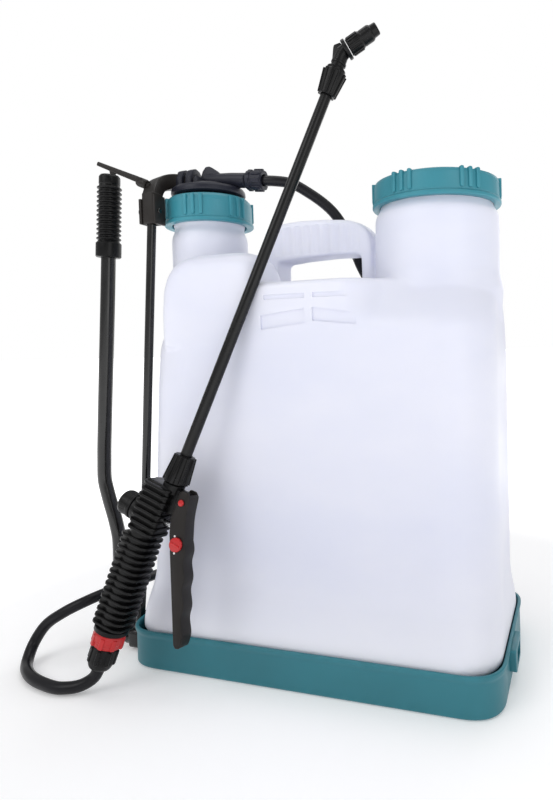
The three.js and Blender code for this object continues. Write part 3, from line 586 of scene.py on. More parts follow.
def towards_neck(x, y, z):
    """Draw the left end in to the round pump neck as it rises."""
    draw = smoothstep(z, 325, 392)
    if x < LEFT_NECK_X:
        reach = math.hypot(x - LEFT_NECK_X, y)
        target = (LEFT_NECK_X + NECK_BLEND * (x - LEFT_NECK_X) / reach, NECK_BLEND * y / reach)
        return x + draw * (target[0] - x), y + draw * (target[1] - y), z
    share = draw * smoothstep(-x, 40, -LEFT_NECK_X)
    return x, y + share * (math.copysign(NECK_BLEND, y) - y), z


def body_ring(z, inset=0.0):
    """One level of the tank body: a rounded rectangle whose left end rounds off more towards the top."""
    flare = 1.0 - smoothstep(z, 42, 96)
    half_x = HALF_X + 3.5 * flare - inset - 1.5 * smoothstep(z, 300, 390)
    half_y = HALF_Y + FOOT_FLARE * flare - inset
    left = min(table_value(LEFT_CORNER, z), half_y - 0.5)
    right = min(table_value(RIGHT_CORNER, z), half_y - 0.5)
    corners = [
        (half_x - right, -half_y + right, right, -90),
        (half_x - right, half_y - right, right, 0),
        (-half_x + left, half_y - left, left, 90),
        (-half_x + left, -half_y + left, left, 180),
    ]
    points = []
    for i, (cx, cy, r, start) in enumerate(corners):
        arc = [(cx + r * math.cos(math.radians(start + 90 * k / ARC_STEPS)),
                cy + r * math.sin(math.radians(start + 90 * k / ARC_STEPS))) for k in range(ARC_STEPS + 1)]
        ncx, ncy, nr, nstart = corners[(i + 1) % 4]
        following = (ncx + nr * math.cos(math.radians(nstart)), ncy + nr * math.sin(math.radians(nstart)))
        points += arc
        points += [tuple(np.array(arc[-1]) * (1 - k / SIDE_STEPS) + np.array(following) * k / SIDE_STEPS)
                   for k in range(1, SIDE_STEPS)]
    out = []
    for x, y in points:
        column = smoothstep(x, 52, 92)
        sink = 27.0 * smoothstep(z, 340, 392) * column
        y = y + sink if y < 0 else y - 0.7 * sink
        out.append(towards_neck(x, y, z))
    return out


def body_skin():
    levels = list(np.arange(FOOT_Z + 5, 330, 8.0)) + list(np.arange(330, TOP_Z - 5, 4.0))
    rings = [body_ring(FOOT_Z, 6.0), body_ring(FOOT_Z + 1.5, 2.2)] + [body_ring(z) for z in levels]
    for angle in (20, 45, 70, 90):
        s, c = math.sin(math.radians(angle)), math.cos(math.radians(angle))
        rings.append(body_ring(TOP_Z - 6 + 6 * s, 6 * (1 - c)))
    return loft("body_skin", rings)


BULGE_BACK, BULGE_CORNER = -30.0, 27.0
BULGE_LEVELS = [(330, -154, -24, -87), (365, -154, -24, -87), (388, -152, -26, -86.5), (402, -148, -31, -85),
                (412, -142, -37, -82), (419, -134, -45, -77), (424, -120, -58, -66)]


def front_bulge():
    """The arched swelling that rises in front of the pump neck."""
    rings = []
    for z, left, right, front in BULGE_LEVELS:
        depth = BULGE_BACK - front
        corner = min(BULGE_CORNER, depth / 2 - 0.5)
        plan = rounded_rect(right - left, depth, corner, 10)
        rings.append([(x + (left + right) / 2, y + (front + BULGE_BACK) / 2, z) for x, y in plan])
    return loft("arch", rings)


def neck_column(name, x, shoulder, neck, top, foot_z, foot_r, waist):
    profile = [(0, foot_z), (foot_r, foot_z), (shoulder + 3, foot_z + 34), (shoulder, foot_z + 52),
               (shoulder, LIP_Z - 13), (shoulder - 1, LIP_Z - 8), (waist, LIP_Z - 2), (waist, LIP_Z + 2),
               (neck, LIP_Z + 4), (neck, top - 1), (neck - 1, top), (0, top)]
    return move(lathe(name, profile, 96, 3.0), shift(x, 0, 0))


HANDLE_OUTER = [(-63, 378), (-63.5, 438), (-61.5, 452), (-50, 459), (-20, 461), (10, 460), (35, 457.5),
                (50, 452), (58.5, 443), (61, 430), (61.5, 378)]
HANDLE_INNER = [(-46, 360), (-46.3, 418.5), (-20, 420.8), (10, 422), (40, 421.6), (49, 421), (49.5, 360)]


def carry_handle():
    outer = prism("handle", rounded(HANDLE_OUTER, 6), -20, 16, "XZ", 4.0, 4)
    inner = prism("window", rounded(HANDLE_INNER, 3), -30, 26, "XZ")
    return cut(outer, inner)


def tank_cutters():
    """Flutes on the handle, the moulded bars and chevrons below it, and the two neck bores."""
    cutters = []
    for i in range(9):
        x = -44 + i * 11.0
        flute = move(cylinder("flute", 10, 424, 455, 48, 2.0), shift(x, -29.0, 0))
        cutters.append(flute)
    for x0, x1 in ((-27, 16), (24, 64)):
        cutters.append(block("bar", (x0, -96, 372.6), (x1, -86.2, 377.4), 0.8))
    for outline in ([(-31, 344), (15.5, 349), (15.5, 363), (-31, 358)],
                    [(23, 351), (67, 346), (67, 357), (23, 364)]):
        cutters.append(prism("chevron", rounded(outline, 1.5), -96, -86.2, "XZ"))
    cutters.append(move(cylinder("bore", 33, 400, 500, 72), shift(LEFT_NECK_X, 0, 0)))
    cutters.append(move(cylinder("bore", 52, 400, 500, 96), shift(RIGHT_NECK_X, 0, 0)))
    return cutters


def make_tank():
    parts = [
        body_skin(),
        front_bulge(),
        neck_column("pump_neck", LEFT_NECK_X, 42, 40, 484, 330, 43, 38),
        neck_column("filler_neck", RIGHT_NECK_X, 62.5, 56, 480, 345, 62.5, 57),
        carry_handle(),
    ]
    skin = remesh(join("tank_shell", *parts), TANK_VOXEL, 14)
    return cut(skin, *tank_cutters())


# ---------- base ----------
BASE_X, BASE_Y, BASE_R = 195.0, 103.0, 37.0


def base_ring(inset, z):
    outline = rounded_rect(2 * (BASE_X - inset), 2 * (BASE_Y - inset), BASE_R - inset, 14)
    return [(x, y, z) for x, y in outline]


def make_base():
    section = [(3.0, 0.0), (1.2, 0.5), (0.3, 1.8), (0.2, 4), (0.5, 31), (0.2, 33.2), (-0.6, 34.6),
               (-0.9, 36.5), (-0.8, 38.4), (-0.1, 39.1), (1.0, 39.3), (2.0, 39.0), (2.6, 38.0), (3.0, 34),
               (3.0, 3)]
    tray = loft("base_tray", [base_ring(inset, z) for inset, z in section])
    tools = []
    for side in (-1, 1):
        shift_y = 62 if side < 0 else 0
        outline = [(-42 + shift_y, 36), (-37 + shift_y, 14), (-32 + shift_y, 11), (0 + shift_y, 11),
                   (3 + shift_y, 14), (3 + shift_y, 36)]
        low, high = sorted((side * (BASE_X - 2), side * (BASE_X + 6)))
        lug = prism("lug", rounded(outline, 3), low, high, "YZ", 1.2, 2)
        slot_low, slot_high = sorted((side * (BASE_X + 0.6), side * (BASE_X + 20)))
        slot = prism("slot", rounded_rect(25, 14, 3, 4), slot_low, slot_high, "YZ")
        move(slot, shift(0, -15 + shift_y, 23))
        tools.append(cut(lug, slot))
        rear = block("rear_lug", (side * 118 - 26, 101, 12), (side * 118 + 26, 112, 36), 1.5)
        hole = block("rear_slot", (side * 118 - 21, 103.6, 5), (side * 118 + 21, 107.5, 45), 1.0)
        tools.append(cut(rear, hole))
    union(tray, *tools)
    bush_hole = move(cylinder("hole", 12, -205, -185, 40), turn(90, "Y"))
    return cut(tray, move(bush_hole, shift(0, LEVER_AT[1], LEVER_AT[2])))


# ---------- screw caps ----------
def rib_tools(radius, z0, z1, phase, reach=1.9, width=4.0, top_round=1.9):
    """Six groups of three rounded upright ribs round a cap."""
    tools = []
    outline = rounded([(-width / 2, z0), (width / 2, z0), (width / 2, z1), (-width / 2, z1)], top_round, 4)
    for sector in range(6):
        for step in (-1, 0, 1):
            rib = prism("rib", outline, radius - 3, radius + reach, "XZ", 0.7, 2)
            angle = sector * 60 + math.degrees(step * 8.6 / radius) + phase
            tools.append(move(rib, turn(angle, "Z")))
    return tools


def make_filler_cap():
    profile = [(0, 484.6), (57.4, 484.6), (57.4, 463), (64.2, 463), (64.9, 464.2), (64.9, 466.4),
               (64.0, 467.4), (63.0, 468.0), (63.4, 469.2), (63.2, 484), (62.0, 487), (59.0, 488.2),
               (53, 488.0), (51.5, 487.0), (0, 487.0)]
    cap = lathe("filler_cap", profile, 144, 0.5)
    union(cap, *rib_tools(63.2, 469.5, 488.5, 42))
    return move(cap, shift(RIGHT_NECK_X, 0, 0))


def make_ring_nut():
    profile = [(41.4, 466), (48.6, 466), (49.3, 467), (49.3, 469.4), (48.4, 470.3), (47.4, 470.9),
               (47.9, 472), (47.7, 489), (46.4, 493.4), (43.2, 496.6), (40.5, 497), (29, 497), (29, 492.4),
               (41.4, 492.4)]
    nut = lathe("ring_nut_fine", profile, 120, 0.6, closed=True)
    union(nut, *rib_tools(47.6, 472.5, 494.5, 12))
    return move(nut, shift(LEFT_NECK_X, 0, 0))


# ---------- pump head ----------
def make_pump_head():
    x0 = -LEFT_NECK_X
    disc = lathe("pump_cap",
                 [(0, 500), (37, 500), (40.6, 501.2), (41.2, 503), (41.0, 506), (39.4, 508.6), (34, 510),
                              (27, 511), (22, 514.5), (0, 515.5)], 96, 0.8)
    socket = lathe("socket", [(23.3, 497.5), (26, 497.5), (26, 501), (23.3, 501)], 64, 0, closed=True)
    plate_outline = rounded([(-17, 505), (-16.5, 523), (-12, 531), (-5, 534), (2, 532), (8, 525), (10, 505)],
                            4, 4)
    plates = [prism("plate", plate_outline, low + x0, high + x0, "YZ", 1.6, 3)
              for low, high in ((-173.5, -165.2), (-161.0, -152.7))]
    bridge = block("bridge", (-171 + x0, -16, 505), (-155 + x0, 9, 516), 1.5)
    fin_outline = rounded([(-158, 506), (-151, 519), (-146, 531), (-142, 535.5), (-137, 535.5), (-129, 530),
                          (-121, 523), (-113, 513), (-109, 506)], 4, 4)
    fin = move(prism("fin", fin_outline, -3.6, 3.6, "XZ", 1.4, 3), shift(x0, 0, 0))
    web = prism("web", rounded([(-150, 506), (-146, 522), (-143, 522), (-139, 506)], 3), -20, 20, "XZ",
                1.2, 2)
    move(web, shift(x0, 0, 0))
    collar = lathe("collar", [(0, -22), (7.0, -22), (7.8, -4), (8.4, 10), (8.2, 29), (7.4, 30), (0, 30)], 48,
                   0.8)
    spigot = cylinder("spigot", 6.2, 10, 46, 48, 0.6)
    to_neck = shift(x0, 0, 0) @ outlet_matrix()
    union(disc, socket, *plates, bridge, fin, web, move(collar, to_neck), move(spigot, to_neck))
    journal = move(cylinder("journal", 7.3, -190, -150, 40), turn(90, "Y"))
    cut(disc, move(journal, shift(x0, -5, 520)))
    return move(disc, shift(-x0, 0, 0))


def make_outlet_nut():
    profile = [(6.6, 32), (10.2, 32), (11.0, 33), (11.0, 37.6), (10.2, 38.2), (10.2, 39.4), (11.0, 40),
               (11.0, 51), (10.0, 52), (6.6, 52)]
    nut = lathe("outlet_nut_fine", profile, 64, 0.3, closed=True)
    ribs = []
    for i in range(8):
        rib = block("rib", (8.8, -2.6, 40.5), (12.3, 2.6, 51), 0.9)
        ribs.append(move(rib, turn(45 * i + 12, "Z")))
        ribs.append(move(block("rib", (8.8, -2.2, 33), (11.7, 2.2, 37.4), 0.7), turn(45 * i + 12, "Z")))
    union(nut, *ribs)
    return move(nut, outlet_matrix())


# ---------- arm and rod ----------
ARM_PATH = [(-172, -5, 519), (-179, -12, 519.5), (-184, -26, 515), (-183.5, -38, 508), (-180, -48, 498),
            (-177, -54.5, 486)]


def make_arm():
    """Curved arm, the rod clamp below it and the finger bar beside it."""
    section = rounded([(-7.5, -7.5), (7.5, -7.5), (7.5, 7.5), (-7.5, 7.5)], 2.2)
    arm = sweep("drive_arm_fine", ARM_PATH, section, 2.0, scale=lambda t: (1.0 + 0.15 * t, 1.15 - 0.2 * t))
    journal = cylinder("journal", 7, -187, -155.5, 40, 0.8)
    move(journal, shift(0, -5, 520) @ turn(90, "Y"))
    socket = block("socket", (-184, -62.5, 463), (-168.5, -46, 497), 2.2, 3)
    left = block("left_plate", (-187, -63.5, 463), (-183.6, -44.5, 490), 0.8)
    right = block("right_plate", (-170.5, -62, 463), (-167.2, -44.5, 494), 0.8)
    yoke = block("yoke", (-186, -58, 486), (-168, -45, 493), 1.6)
    knuckle = lathe("knuckle", [(0, -6.5), (4.6, -6.5), (5.2, -4.4), (5.2, 4.4), (4.6, 6.5), (0, 6.5)], 32,
                    0.8)
    move(knuckle, shift(-192, -48.5, 511) @ turn(-66, "Y"))
    bar_section = rounded([(-4.2, -3.1), (4.2, -3.1), (4.2, 3.1), (-4.2, 3.1)], 1.8)
    bar = sweep("bar",
                [(-186, -46, 507), (-195, -50, 514), (-205, -51, 518.5), (-222, -51.5, 526),
                 (-247, -52, 537)],
                bar_section, 2.0, up=(0.4, 0, 0.9), scale=lambda t: (1.0 - 0.25 * t, 1.15 - 0.4 * t))
    tab = prism("tab", rounded([(-231.5, 523.5), (-226.5, 523.5), (-225, 529), (-233, 530.5)], 1.6), -53.5,
                -49.5, "XZ", 0.8, 2)
    union(arm, journal, socket, left, right, yoke, knuckle, bar, tab)
    bore = block("bore", (-181, -60.5, 440), (-171, -49.6, 484), 2.0, 3)
    return cut(arm, bore)


def make_clamp_screw():
    profile = [(0, -190.4), (4.6, -190.4), (5.1, -189.8), (5.1, -187.6), (2.9, -187.3), (2.9, -166.4),
               (2.3, -165.6), (0, -165.6)]
    return move(lathe("clamp_screw_fine", profile, 28, 0.3), shift(0, -55, 477) @ turn(90, "Y"))


ROD_FOOT = (-64.07, 12.34)


def make_rod():
    rod = sweep("drive_rod_fine",
                [(-206.6, -63.6, 20), (-198.5, -61, 120), (-187.3, -58, 300), (-176, -55, 483)],
                circle(4.7, 28), 12.0)
    centre_y, centre_z = ROD_FOOT
    foot = prism("foot", rounded_rect(23, 21, 5, 5), -213, -200.3, "YZ", 1.2, 3)
    slot = prism("slot", rounded_rect(14.4, 12.4, 5.5, 5), -220, -190, "YZ")
    move(foot, shift(0, centre_y, centre_z))
    move(slot, shift(0, centre_y, centre_z))
    return cut(union(rod, foot), slot)


# ---------- lever ----------
LEVER_PATH = [(-172, 0, 0), (-200, 0, 0), (-236, 0, 0), (-250, 0, 1.6), (-259, 0, 8.5), (-262, 0, 22),
              (-262, 0, 66), (-262.5, 0, 96), (-266, 0, 112), (-275, 0, 142), (-279.3, 0, 160),
              (-279, 0, 185), (-276, 0, 230), (-268, 0, 330), (-261, 0, 422), (-255.1, 0, 507)]


def make_lever():
    return move(sweep("lever_rod", LEVER_PATH, circle(8.0, 40), 3.0), shift(*LEVER_AT))


def make_lever_grip():
    """Soft sleeve: plain collar, twelve thin rings, plain crown."""
    profile = [(0, 88), (8.3, 88), (8.3, 0), (12.6, 0), (13.9, 1.2), (13.9, 16.4), (12.2, 18.2)]
    pitch = (78 - 20) / 11
    for i in range(12):
        z = 20 + i * pitch
        profile += [(11.4, z - 0.2), (12.8, z + 0.5), (13.4, z + 1.3), (13.4, z + 2.1), (12.8, z + 2.8),
                    (11.4, z + 3.5)]
    profile += [(11.2, 83.6), (11.6, 84.6), (11.5, 92.4), (9.8, 94.8), (0, 95.6)]
    grip = lathe("lever_handgrip", profile, 56, 0.35)
    return move(grip, shift(*LEVER_AT) @ shift(-260.9, 0, 423) @ turn(3.97, "Y"))


# ---------- wand ----------
VALVE_S = 117.0  # where the valve's axis crosses the wand
TRIGGER_PIN = (19.6, 0.0, 143.5)
DIAL_AT = (30.6, 0.0, 107.0)
FIN_PITCH = 6.2


def valve_matrix():
    """The valve's axis, square to the wand and pointing away from the trigger."""
    return shift(0, 0, VALVE_S) @ turn(-90, "Y")


def make_wand_body():
    profile = [(9, 0), (15.4, 0), (16.2, 0.8), (16.2, 4.4), (13.4, 5.2), (13.4, 100), (13.4, 108), (9, 108)]
    grip = lathe("wand_body", profile, 64, 0.3, closed=True)
    fins = [prism("fin", rounded_rect(34.0, 29.6, 9.0, 6), s, s + 2.5, "XY", 0.6, 2)
            for s in (6.6 + i * FIN_PITCH for i in range(15))]
    move(union(grip, *fins), turn(GRIP_TILT, "Y"))
    move(grip, shift(GRIP_OFFSET_X, 0, 0))
    core = block("core", (-25, -11.5, 99), (4.5, 11.5, 151), 3.0, 3)
    tools = [core]
    for i in range(8):
        s = 101.5 + i * 6.4
        left, right = -27.5 + 0.5 * abs(i - 4), 6.2
        outline = rounded_rect(right - left, 30.5, 8, 5)
        fin = prism("fin", outline, s, s + 3.0, "XY", 0.8, 2)
        tools.append(move(fin, shift((left + right) / 2, 0, 0)))
    rails = [block("rail", (-26.5, y - 2, 100), (-18, y + 2, 150), 1.0) for y in (-6, 6)]
    lug_outline = rounded([(2, 124), (9, 127), (18.5, 130.5), (23, 136), (23, 148), (18.5, 151.8),
                           (2, 151.8)], 3, 4)
    lug = prism("lug", lug_outline, -5.3, 5.3, "XZ", 1.0, 3)
    collar = lathe("collar", [(0, 146), (10.4, 146), (10.4, 154.4), (9.4, 155.3), (0, 155.3)], 48, 0.4)
    boss = lathe("boss", [(0, 18), (12.2, 18), (12.2, 29.2), (11.4, 30), (0, 30)], 48, 0.5)
    move(boss, valve_matrix())
    union(grip, *tools, *rails, lug, collar, boss)
    bore = move(cylinder("bore", 8, 0, 40, 40), valve_matrix())
    stem = move(cylinder("stem", 3.3, -30, 5, 24), valve_matrix())
    pin = move(cylinder("pin", 2.3, -30, 30, 32), shift(*TRIGGER_PIN) @ turn(90, "X"))
    screw = move(cylinder("screw", 1.7, 0, 6, 20), shift(-8.5, -21, 9) @ turn(-90, "X"))
    cut(grip, bore, stem, pin, screw)
    return move(grip, wand_matrix())


def make_valve_cap():
    profile = [(0, 30.4), (10.2, 30.4), (12.0, 30.5), (12.6, 31.2), (12.6, 34), (11.9, 34.8), (12.1, 42.4),
               (11.2, 44.9), (9.6, 46), (8.4, 45.4), (7.8, 44.6), (0, 44.2)]
    cap = lathe("valve_cap_fine", profile, 72, 0.5)
    grooves = []
    for i in range(20):
        groove = cylinder("groove", 1.1, 36.2, 60, 12)
        grooves.append(move(groove, turn(18 * i, "Z") @ shift(12.8, 0, 0)))
    cut(cap, *grooves)
    return move(cap, wand_matrix() @ shift(0, 0, VALVE_S) @ turn(-90, "Y"))


TRIGGER_CREST = [(25.5, 151), (29.5, 132), (37, 112)]
TRIGGER_SHOULDER, TRIGGER_TIP = (37.0, 112.0), (72.0, 27.0)
SCALLOP_PITCH, SCALLOP_DEPTH, SCALLOP_RISE, LOWEST_CREST = 23.0, 1.1, 0.6, 36.0
TRIGGER_END = [(71.5, 24), (68, 22.5), (65, 24.5), (63, 28)]
TRIGGER_BACK = [(26, 98), (18, 114), (14, 125), (13, 150), (15, 154), (21.5, 154.5)]


def finger_side():
    """Curves down to the shoulder, then runs straight to the tip with an even row of finger scallops."""
    points = [(p[0], p[1]) for p in smooth_path([(x, s, 0) for x, s in TRIGGER_CREST], 2.0)]
    (x0, s0), (x1, s1) = TRIGGER_SHOULDER, TRIGGER_TIP
    for s in np.arange(s0 - 3.0, s1, -1.5):
        line = x0 + (x1 - x0) * (s0 - s) / (s0 - s1)
        wave = SCALLOP_DEPTH * math.cos(2 * math.pi * (s - LOWEST_CREST) / SCALLOP_PITCH)
        points.append((float(line + SCALLOP_RISE + wave), float(s)))
    return points


def trigger_outline():
    return finger_side() + TRIGGER_END + TRIGGER_BACK


def make_trigger():
    outline = trigger_outline()
    body = prism("trigger_lever", outline, -8, 8, "XZ", 1.3, 3)
    hollow = prism("hollow", [(x - 3, s + (3 if s < 40 else 0)) for x, s in outline], -5.8, 5.8, "XZ")
    crown = block("crown", (-5, -5.8, 127), (23.7, 5.8, 170))
    pin = move(cylinder("pin", 2.3, -30, 30, 32), shift(*TRIGGER_PIN) @ turn(90, "X"))
    dial = move(cylinder("dial", 2.8, -30, 30, 32),
                shift(DIAL_AT[0], -36, DIAL_AT[2]) @ turn(90, "X"))
    rib_lines = []
    for s in (42, 58, 74, 90):
        x = float(np.interp(s, [28, 81, 98.5], [63.3, 35.8, 25.9]))
        rib_lines.append(block("rib", (x + 1, -6.2, s), (x + 8, 6.2, s + 1.6), 0.3))
    cut(body, hollow, crown, pin, dial)
    union(body, *rib_lines)
    return move(body, wand_matrix())


def make_dial():
    dial = lathe("lock_dial",
                 [(0, 5), (2.5, 5), (2.5, 8.3), (6.4, 8.3), (6.7, 8.8), (6.7, 10.2), (6.1, 11), (0, 11)],
                 48, 0.3)
    notches = []
    for i in range(12):
        notch = cylinder("notch", 0.7, 7, 20, 10)
        notches.append(move(notch, turn(30 * i, "Z") @ shift(6.9, 0, 0)))
    cut(dial, *notches)
    bar = block("bar", (-5.2, -0.9, 10.3), (5.2, 0.9, 12), 0.5)
    union(dial, bar)
    return move(dial, wand_matrix() @ shift(*DIAL_AT) @ turn(90, "X"))


def make_marks():
    """Two small white dots that show where the lock stands."""
    dots = [move(lathe("dot", [(0, 7.2), (1.0, 7.2), (1.0, 8.1), (0, 8.25)], 20),
                 wand_matrix() @ shift(x, 0, s) @ turn(90, "X")) for x, s in ((25.6, 113.0), (31.5, 98.8))]
    return join("lock_marks", *dots)


def make_pin():
    pin = lathe("trigger_pin_fine", [(0, -10), (3.0, -10), (3.0, -8.5), (1.95, -8.3), (1.95, 8.3), (3.0, 8.5),
                                     (3.0, 9.6), (2.4, 10.2), (0, 10.4)], 40, 0.25)
    return move(pin, wand_matrix() @ shift(*TRIGGER_PIN) @ turn(90, "X"))


def lobed(name, profile, lobes, radius, size, z0, z1):
    """A nut with broad rounded lobes round it."""
    nut = lathe(name, profile, 96, 0.4, closed=True)
    tools = []
    for i in range(lobes):
        outline = rounded([(-size / 2, z0), (size / 2, z0), (size / 2, z1), (-size / 2, z1)], 1.2)
        rib = prism("lobe", outline, radius - 3, radius + 1.6, "XZ", 0.9, 3)
        tools.append(move(rib, turn(360 / lobes * (i + 0.4), "Z")))
    return union(nut, *tools)


def make_inlet_nut():
    profile = [(7.8, -14), (12.8, -14), (13.6, -13), (13.9, -9), (14.6, -8.4), (14.8, -2.4), (14.4, -0.6),
               (7.8, -0.6)]
    return move(lobed("inlet_nut_fine", profile, 8, 13.9, 4.6, -13.4, -2.6), grip_matrix())


def make_ferrule():
    profile = [(6.2, -36), (9.5, -36), (10.8, -34), (12.2, -30), (12.6, -28), (12.6, -15.2), (11.9, -14.3),
               (6.2, -14.3)]
    return move(lobed("ferrule_fine", profile, 8, 12.0, 4.2, -29.5, -15.6), grip_matrix())


CONE_FLUTES = 10


def cone_nut(name, low_r, high_r, z0, z1):
    """A tapered nut with flat flutes and a castellated wide rim."""
    profile = [(5.8, z0), (low_r - 1.2, z0), (low_r - 0.6, z0 + 0.8), (high_r - 0.6, z1 - 0.8),
               (high_r - 1.2, z1), (5.8, z1)]
    nut = lathe(name, profile, 80, 0.4, closed=True)
    tools = []
    for i in range(CONE_FLUTES):
        width = 2 * math.pi * low_r / CONE_FLUTES * 0.62
        top_width = 2 * math.pi * high_r / CONE_FLUTES * 0.62
        rings = []
        for z, r, w in ((z0 + 0.6, low_r, width), (z1 - 0.6, high_r, top_width)):
            rings.append([(r - 3, -w / 2, z), (r + 0.7, -w / 2 + 0.8, z), (r + 0.7, w / 2 - 0.8, z),
                          (r - 3, w / 2, z)])
        tools.append(move(bevel(loft("flute", rings), 0.4, 2), turn(360 / CONE_FLUTES * i, "Z")))
    union(nut, *tools)
    return move(nut, wand_matrix())


def make_elbow():
    bend = sweep("elbow_fine", [(0, 0, 579), (0, 0, 590), (0.1, 0, 596), (1.4, 0, 600.6)], circle(6.7, 40),
                 0.8)
    seat = lathe("seat",
                 [(0, -4), (6.6, -4), (6.6, 1.5), (9.6, 1.5), (10.2, 2.2), (10.2, 4.6), (9.6, 5.2), (0, 5.2)],
                 56, 0.3)
    move(seat, shift(*NOZZLE_AT) @ turn(NOZZLE_TILT, "Y"))
    collar = lathe("collar", [(0, 578.3), (9.3, 578.3), (9.5, 579), (9.3, 581.4), (8, 582.4), (0, 582.4)], 56,
                   0.4)
    gusset_outline = rounded([(-5.5, 584), (-11, 600.5), (-11.5, 603.5), (-6, 607), (0, 603), (1, 590)], 1.4)
    gusset = prism("gusset", gusset_outline, -2.2, 2.2, "XZ", 0.8, 2)
    ring = cylinder("ring", 7.5, 586, 588.6, 48, 0.6)
    union(bend, seat, collar, gusset, ring)
    return move(bend, wand_matrix())


def make_nozzle():
    profile = [(0.9, 5.7), (8.0, 5.7), (8.4, 6.4), (8.4, 18.6), (8.0, 19.6), (7.6, 20.4), (7.9, 21.4),
               (7.9, 29.6), (7.2, 31), (6.3, 32), (6.0, 37), (5.0, 38), (3.6, 36.6), (0.9, 36.2)]
    nozzle = lathe("nozzle_fine", profile, 80, 0.3, closed=True)
    tools = []
    for i in range(16):
        rib = block("rib", (7.0, -0.9, 7.0), (9.2, 0.9, 18.4), 0.4)
        tools.append(move(rib, turn(22.5 * i, "Z")))
    union(nozzle, *tools)
    return move(nozzle, nozzle_matrix())


# ---------- hose ----------
PUMP_HOSE = [(-73.4, 0, 513.5), (-66, 0, 512.3), (-56, 1.5, 511.2), (-42, 7, 509.0), (-22, 16, 497.5),
             (2, 26, 476), (18, 33, 446), (26, 44, 418), (29, 66, 401), (28, 90, 396), (25, 103, 376),
             (24, 104, 332)]
WAND_HOSE = [(24, 104, 332), (20, 103, 260), (-10, 102, 160), (-90, 103, 84), (-180, 108, 58), (-222, 84, 52),
             (-232, 30, 52), (-234, -30, 58), (-238, -66, 61), (-250, -94, 58), (-270, -107, 48),
             (-289, -113, 34), (-297, -121, 17), (-291, -134, 7), (-270, -152, 6), (-240, -163, 5.9),
             (-214, -164.5, 6), (-196, -158, 8.5), (-186, -153.3, 15), (-180.8, -151.2, 25)]


def make_hose(path):
    return sweep("hose", path, circle(HOSE_RADIUS, 32), 3.0)


# ---------- straps ----------
PAD_PATH = [(74, 122, 392), (80, 146, 360), (90, 166, 290), (104, 164, 200), (115, 140, 110)]
PAD_WIDTH, PAD_THICK = 54.0, 7.0
PAD_VOXEL = 4.0
PAD_SWELL_CAP = 6.0
PAD_FRAMES = 20
CHANNEL_FROM_MIDDLE = 20.5
CHANNEL_SPACING = 58.0
STRAP_TOP_X, STRAP_LOW_X = 74, 118


def mirrored(points, side):
    return [(side * x, y, z) for x, y, z in points]


def pad_narrowing(t):
    """The pad's width along its length, from 0 to 1: full in the middle and a little less at the ends."""
    return 0.86 + 0.14 * math.sin(math.pi * t)


def simulate(obj, cap):
    """Blows the pad up a little as cloth, holding every point within cap of where it began."""
    rest = np.array([v.co for v in obj.data.vertices])
    cloth = obj.modifiers.new("cloth", "CLOTH")
    cloth.settings.use_pressure = True
    cloth.settings.uniform_pressure_force = 4.0
    cloth.settings.effector_weights.gravity = 0.0
    cloth.settings.quality = 6
    cloth.point_cache.frame_start, cloth.point_cache.frame_end = 1, PAD_FRAMES
    for step in range(1, PAD_FRAMES + 1):
        bpy.context.scene.frame_set(step)
    graph = bpy.context.evaluated_depsgraph_get()
    mesh = bpy.data.meshes.new_from_object(obj.evaluated_get(graph))
    moved = np.array([v.co for v in mesh.vertices])
    obj.modifiers.clear()
    bpy.context.scene.frame_set(1)
    delta = moved - rest
    length = np.linalg.norm(delta, axis=1)
    length[length == 0] = 1.0
    delta *= np.minimum(1.0, cap * MM / length)[:, None]
    for vertex, place in zip(mesh.vertices, rest + delta):
        vertex.co = place
    obj.data = mesh
    return obj


def pad_locator(side):
    path = smooth_path(mirrored(PAD_PATH, side), 4.0)
    frames = path_frames(path, up=(0.0, 1.0, 0.0))
    return path, frames


def press_channels(obj, side):
    """Sewn channels: two lengthwise and a few across, pressed into the swollen pad."""
    path, frames = pad_locator(side)
    length = np.concatenate([[0], np.cumsum(np.linalg.norm(np.diff(path, axis=0), axis=1))])
    sides = np.array([f[1] for f in frames])
    normals = np.array([f[2] for f in frames])
    for vertex in obj.data.vertices:
        place = np.array(vertex.co) / MM
        near = int(np.argmin(np.linalg.norm(path - place, axis=1)))
        off = place - path[near]
        across, height = float(np.dot(off, sides[near])), float(np.dot(off, normals[near]))
        if abs(height) < 1.0:
            continue
        groove = math.exp(-((abs(across) - CHANNEL_FROM_MIDDLE) / 1.6) ** 2)
        along = length[near] % CHANNEL_SPACING - CHANNEL_SPACING / 2
        groove = max(groove, math.exp(-(along / 2.2) ** 2) * (1.0 if abs(across) < 20 else 0.3))
        push = 2.2 * groove * (1 if height > 0 else -1)
        vertex.co = Vector((place - normals[near] * push) * MM)
    return obj


def make_pad(side):
    pad = sweep("shoulder_pad", mirrored(PAD_PATH, side), rounded_rect(PAD_WIDTH, PAD_THICK, 3.2, 4), 5.0,
                up=(0, 1, 0), scale=lambda t: (pad_narrowing(t), 1.0))
    remesh(pad, PAD_VOXEL, 2)
    simulate(pad, PAD_SWELL_CAP)
    subdivide = pad.modifiers.new("subdivide", "SUBSURF")
    subdivide.levels = subdivide.render_levels = 1
    bake(pad)
    return press_channels(pad, side)


def make_piping(side):
    """Bound edge round the pad."""
    path, frames = pad_locator(side)
    half = [PAD_WIDTH / 2 * pad_narrowing(k / (len(path) - 1)) for k in range(len(path))]
    right = [tuple(p + f[1] * h) for p, f, h in zip(path, frames, half)]
    left = [tuple(p - f[1] * h) for p, f, h in zip(path, frames, half)]
    loop = right[1:-1:2] + [tuple(path[-1] + frames[-1][0] * 1.5)] + left[-2:0:-2]
    return sweep("piping", loop, circle(2.1, 14), 4.0, up=(0, 1, 0))


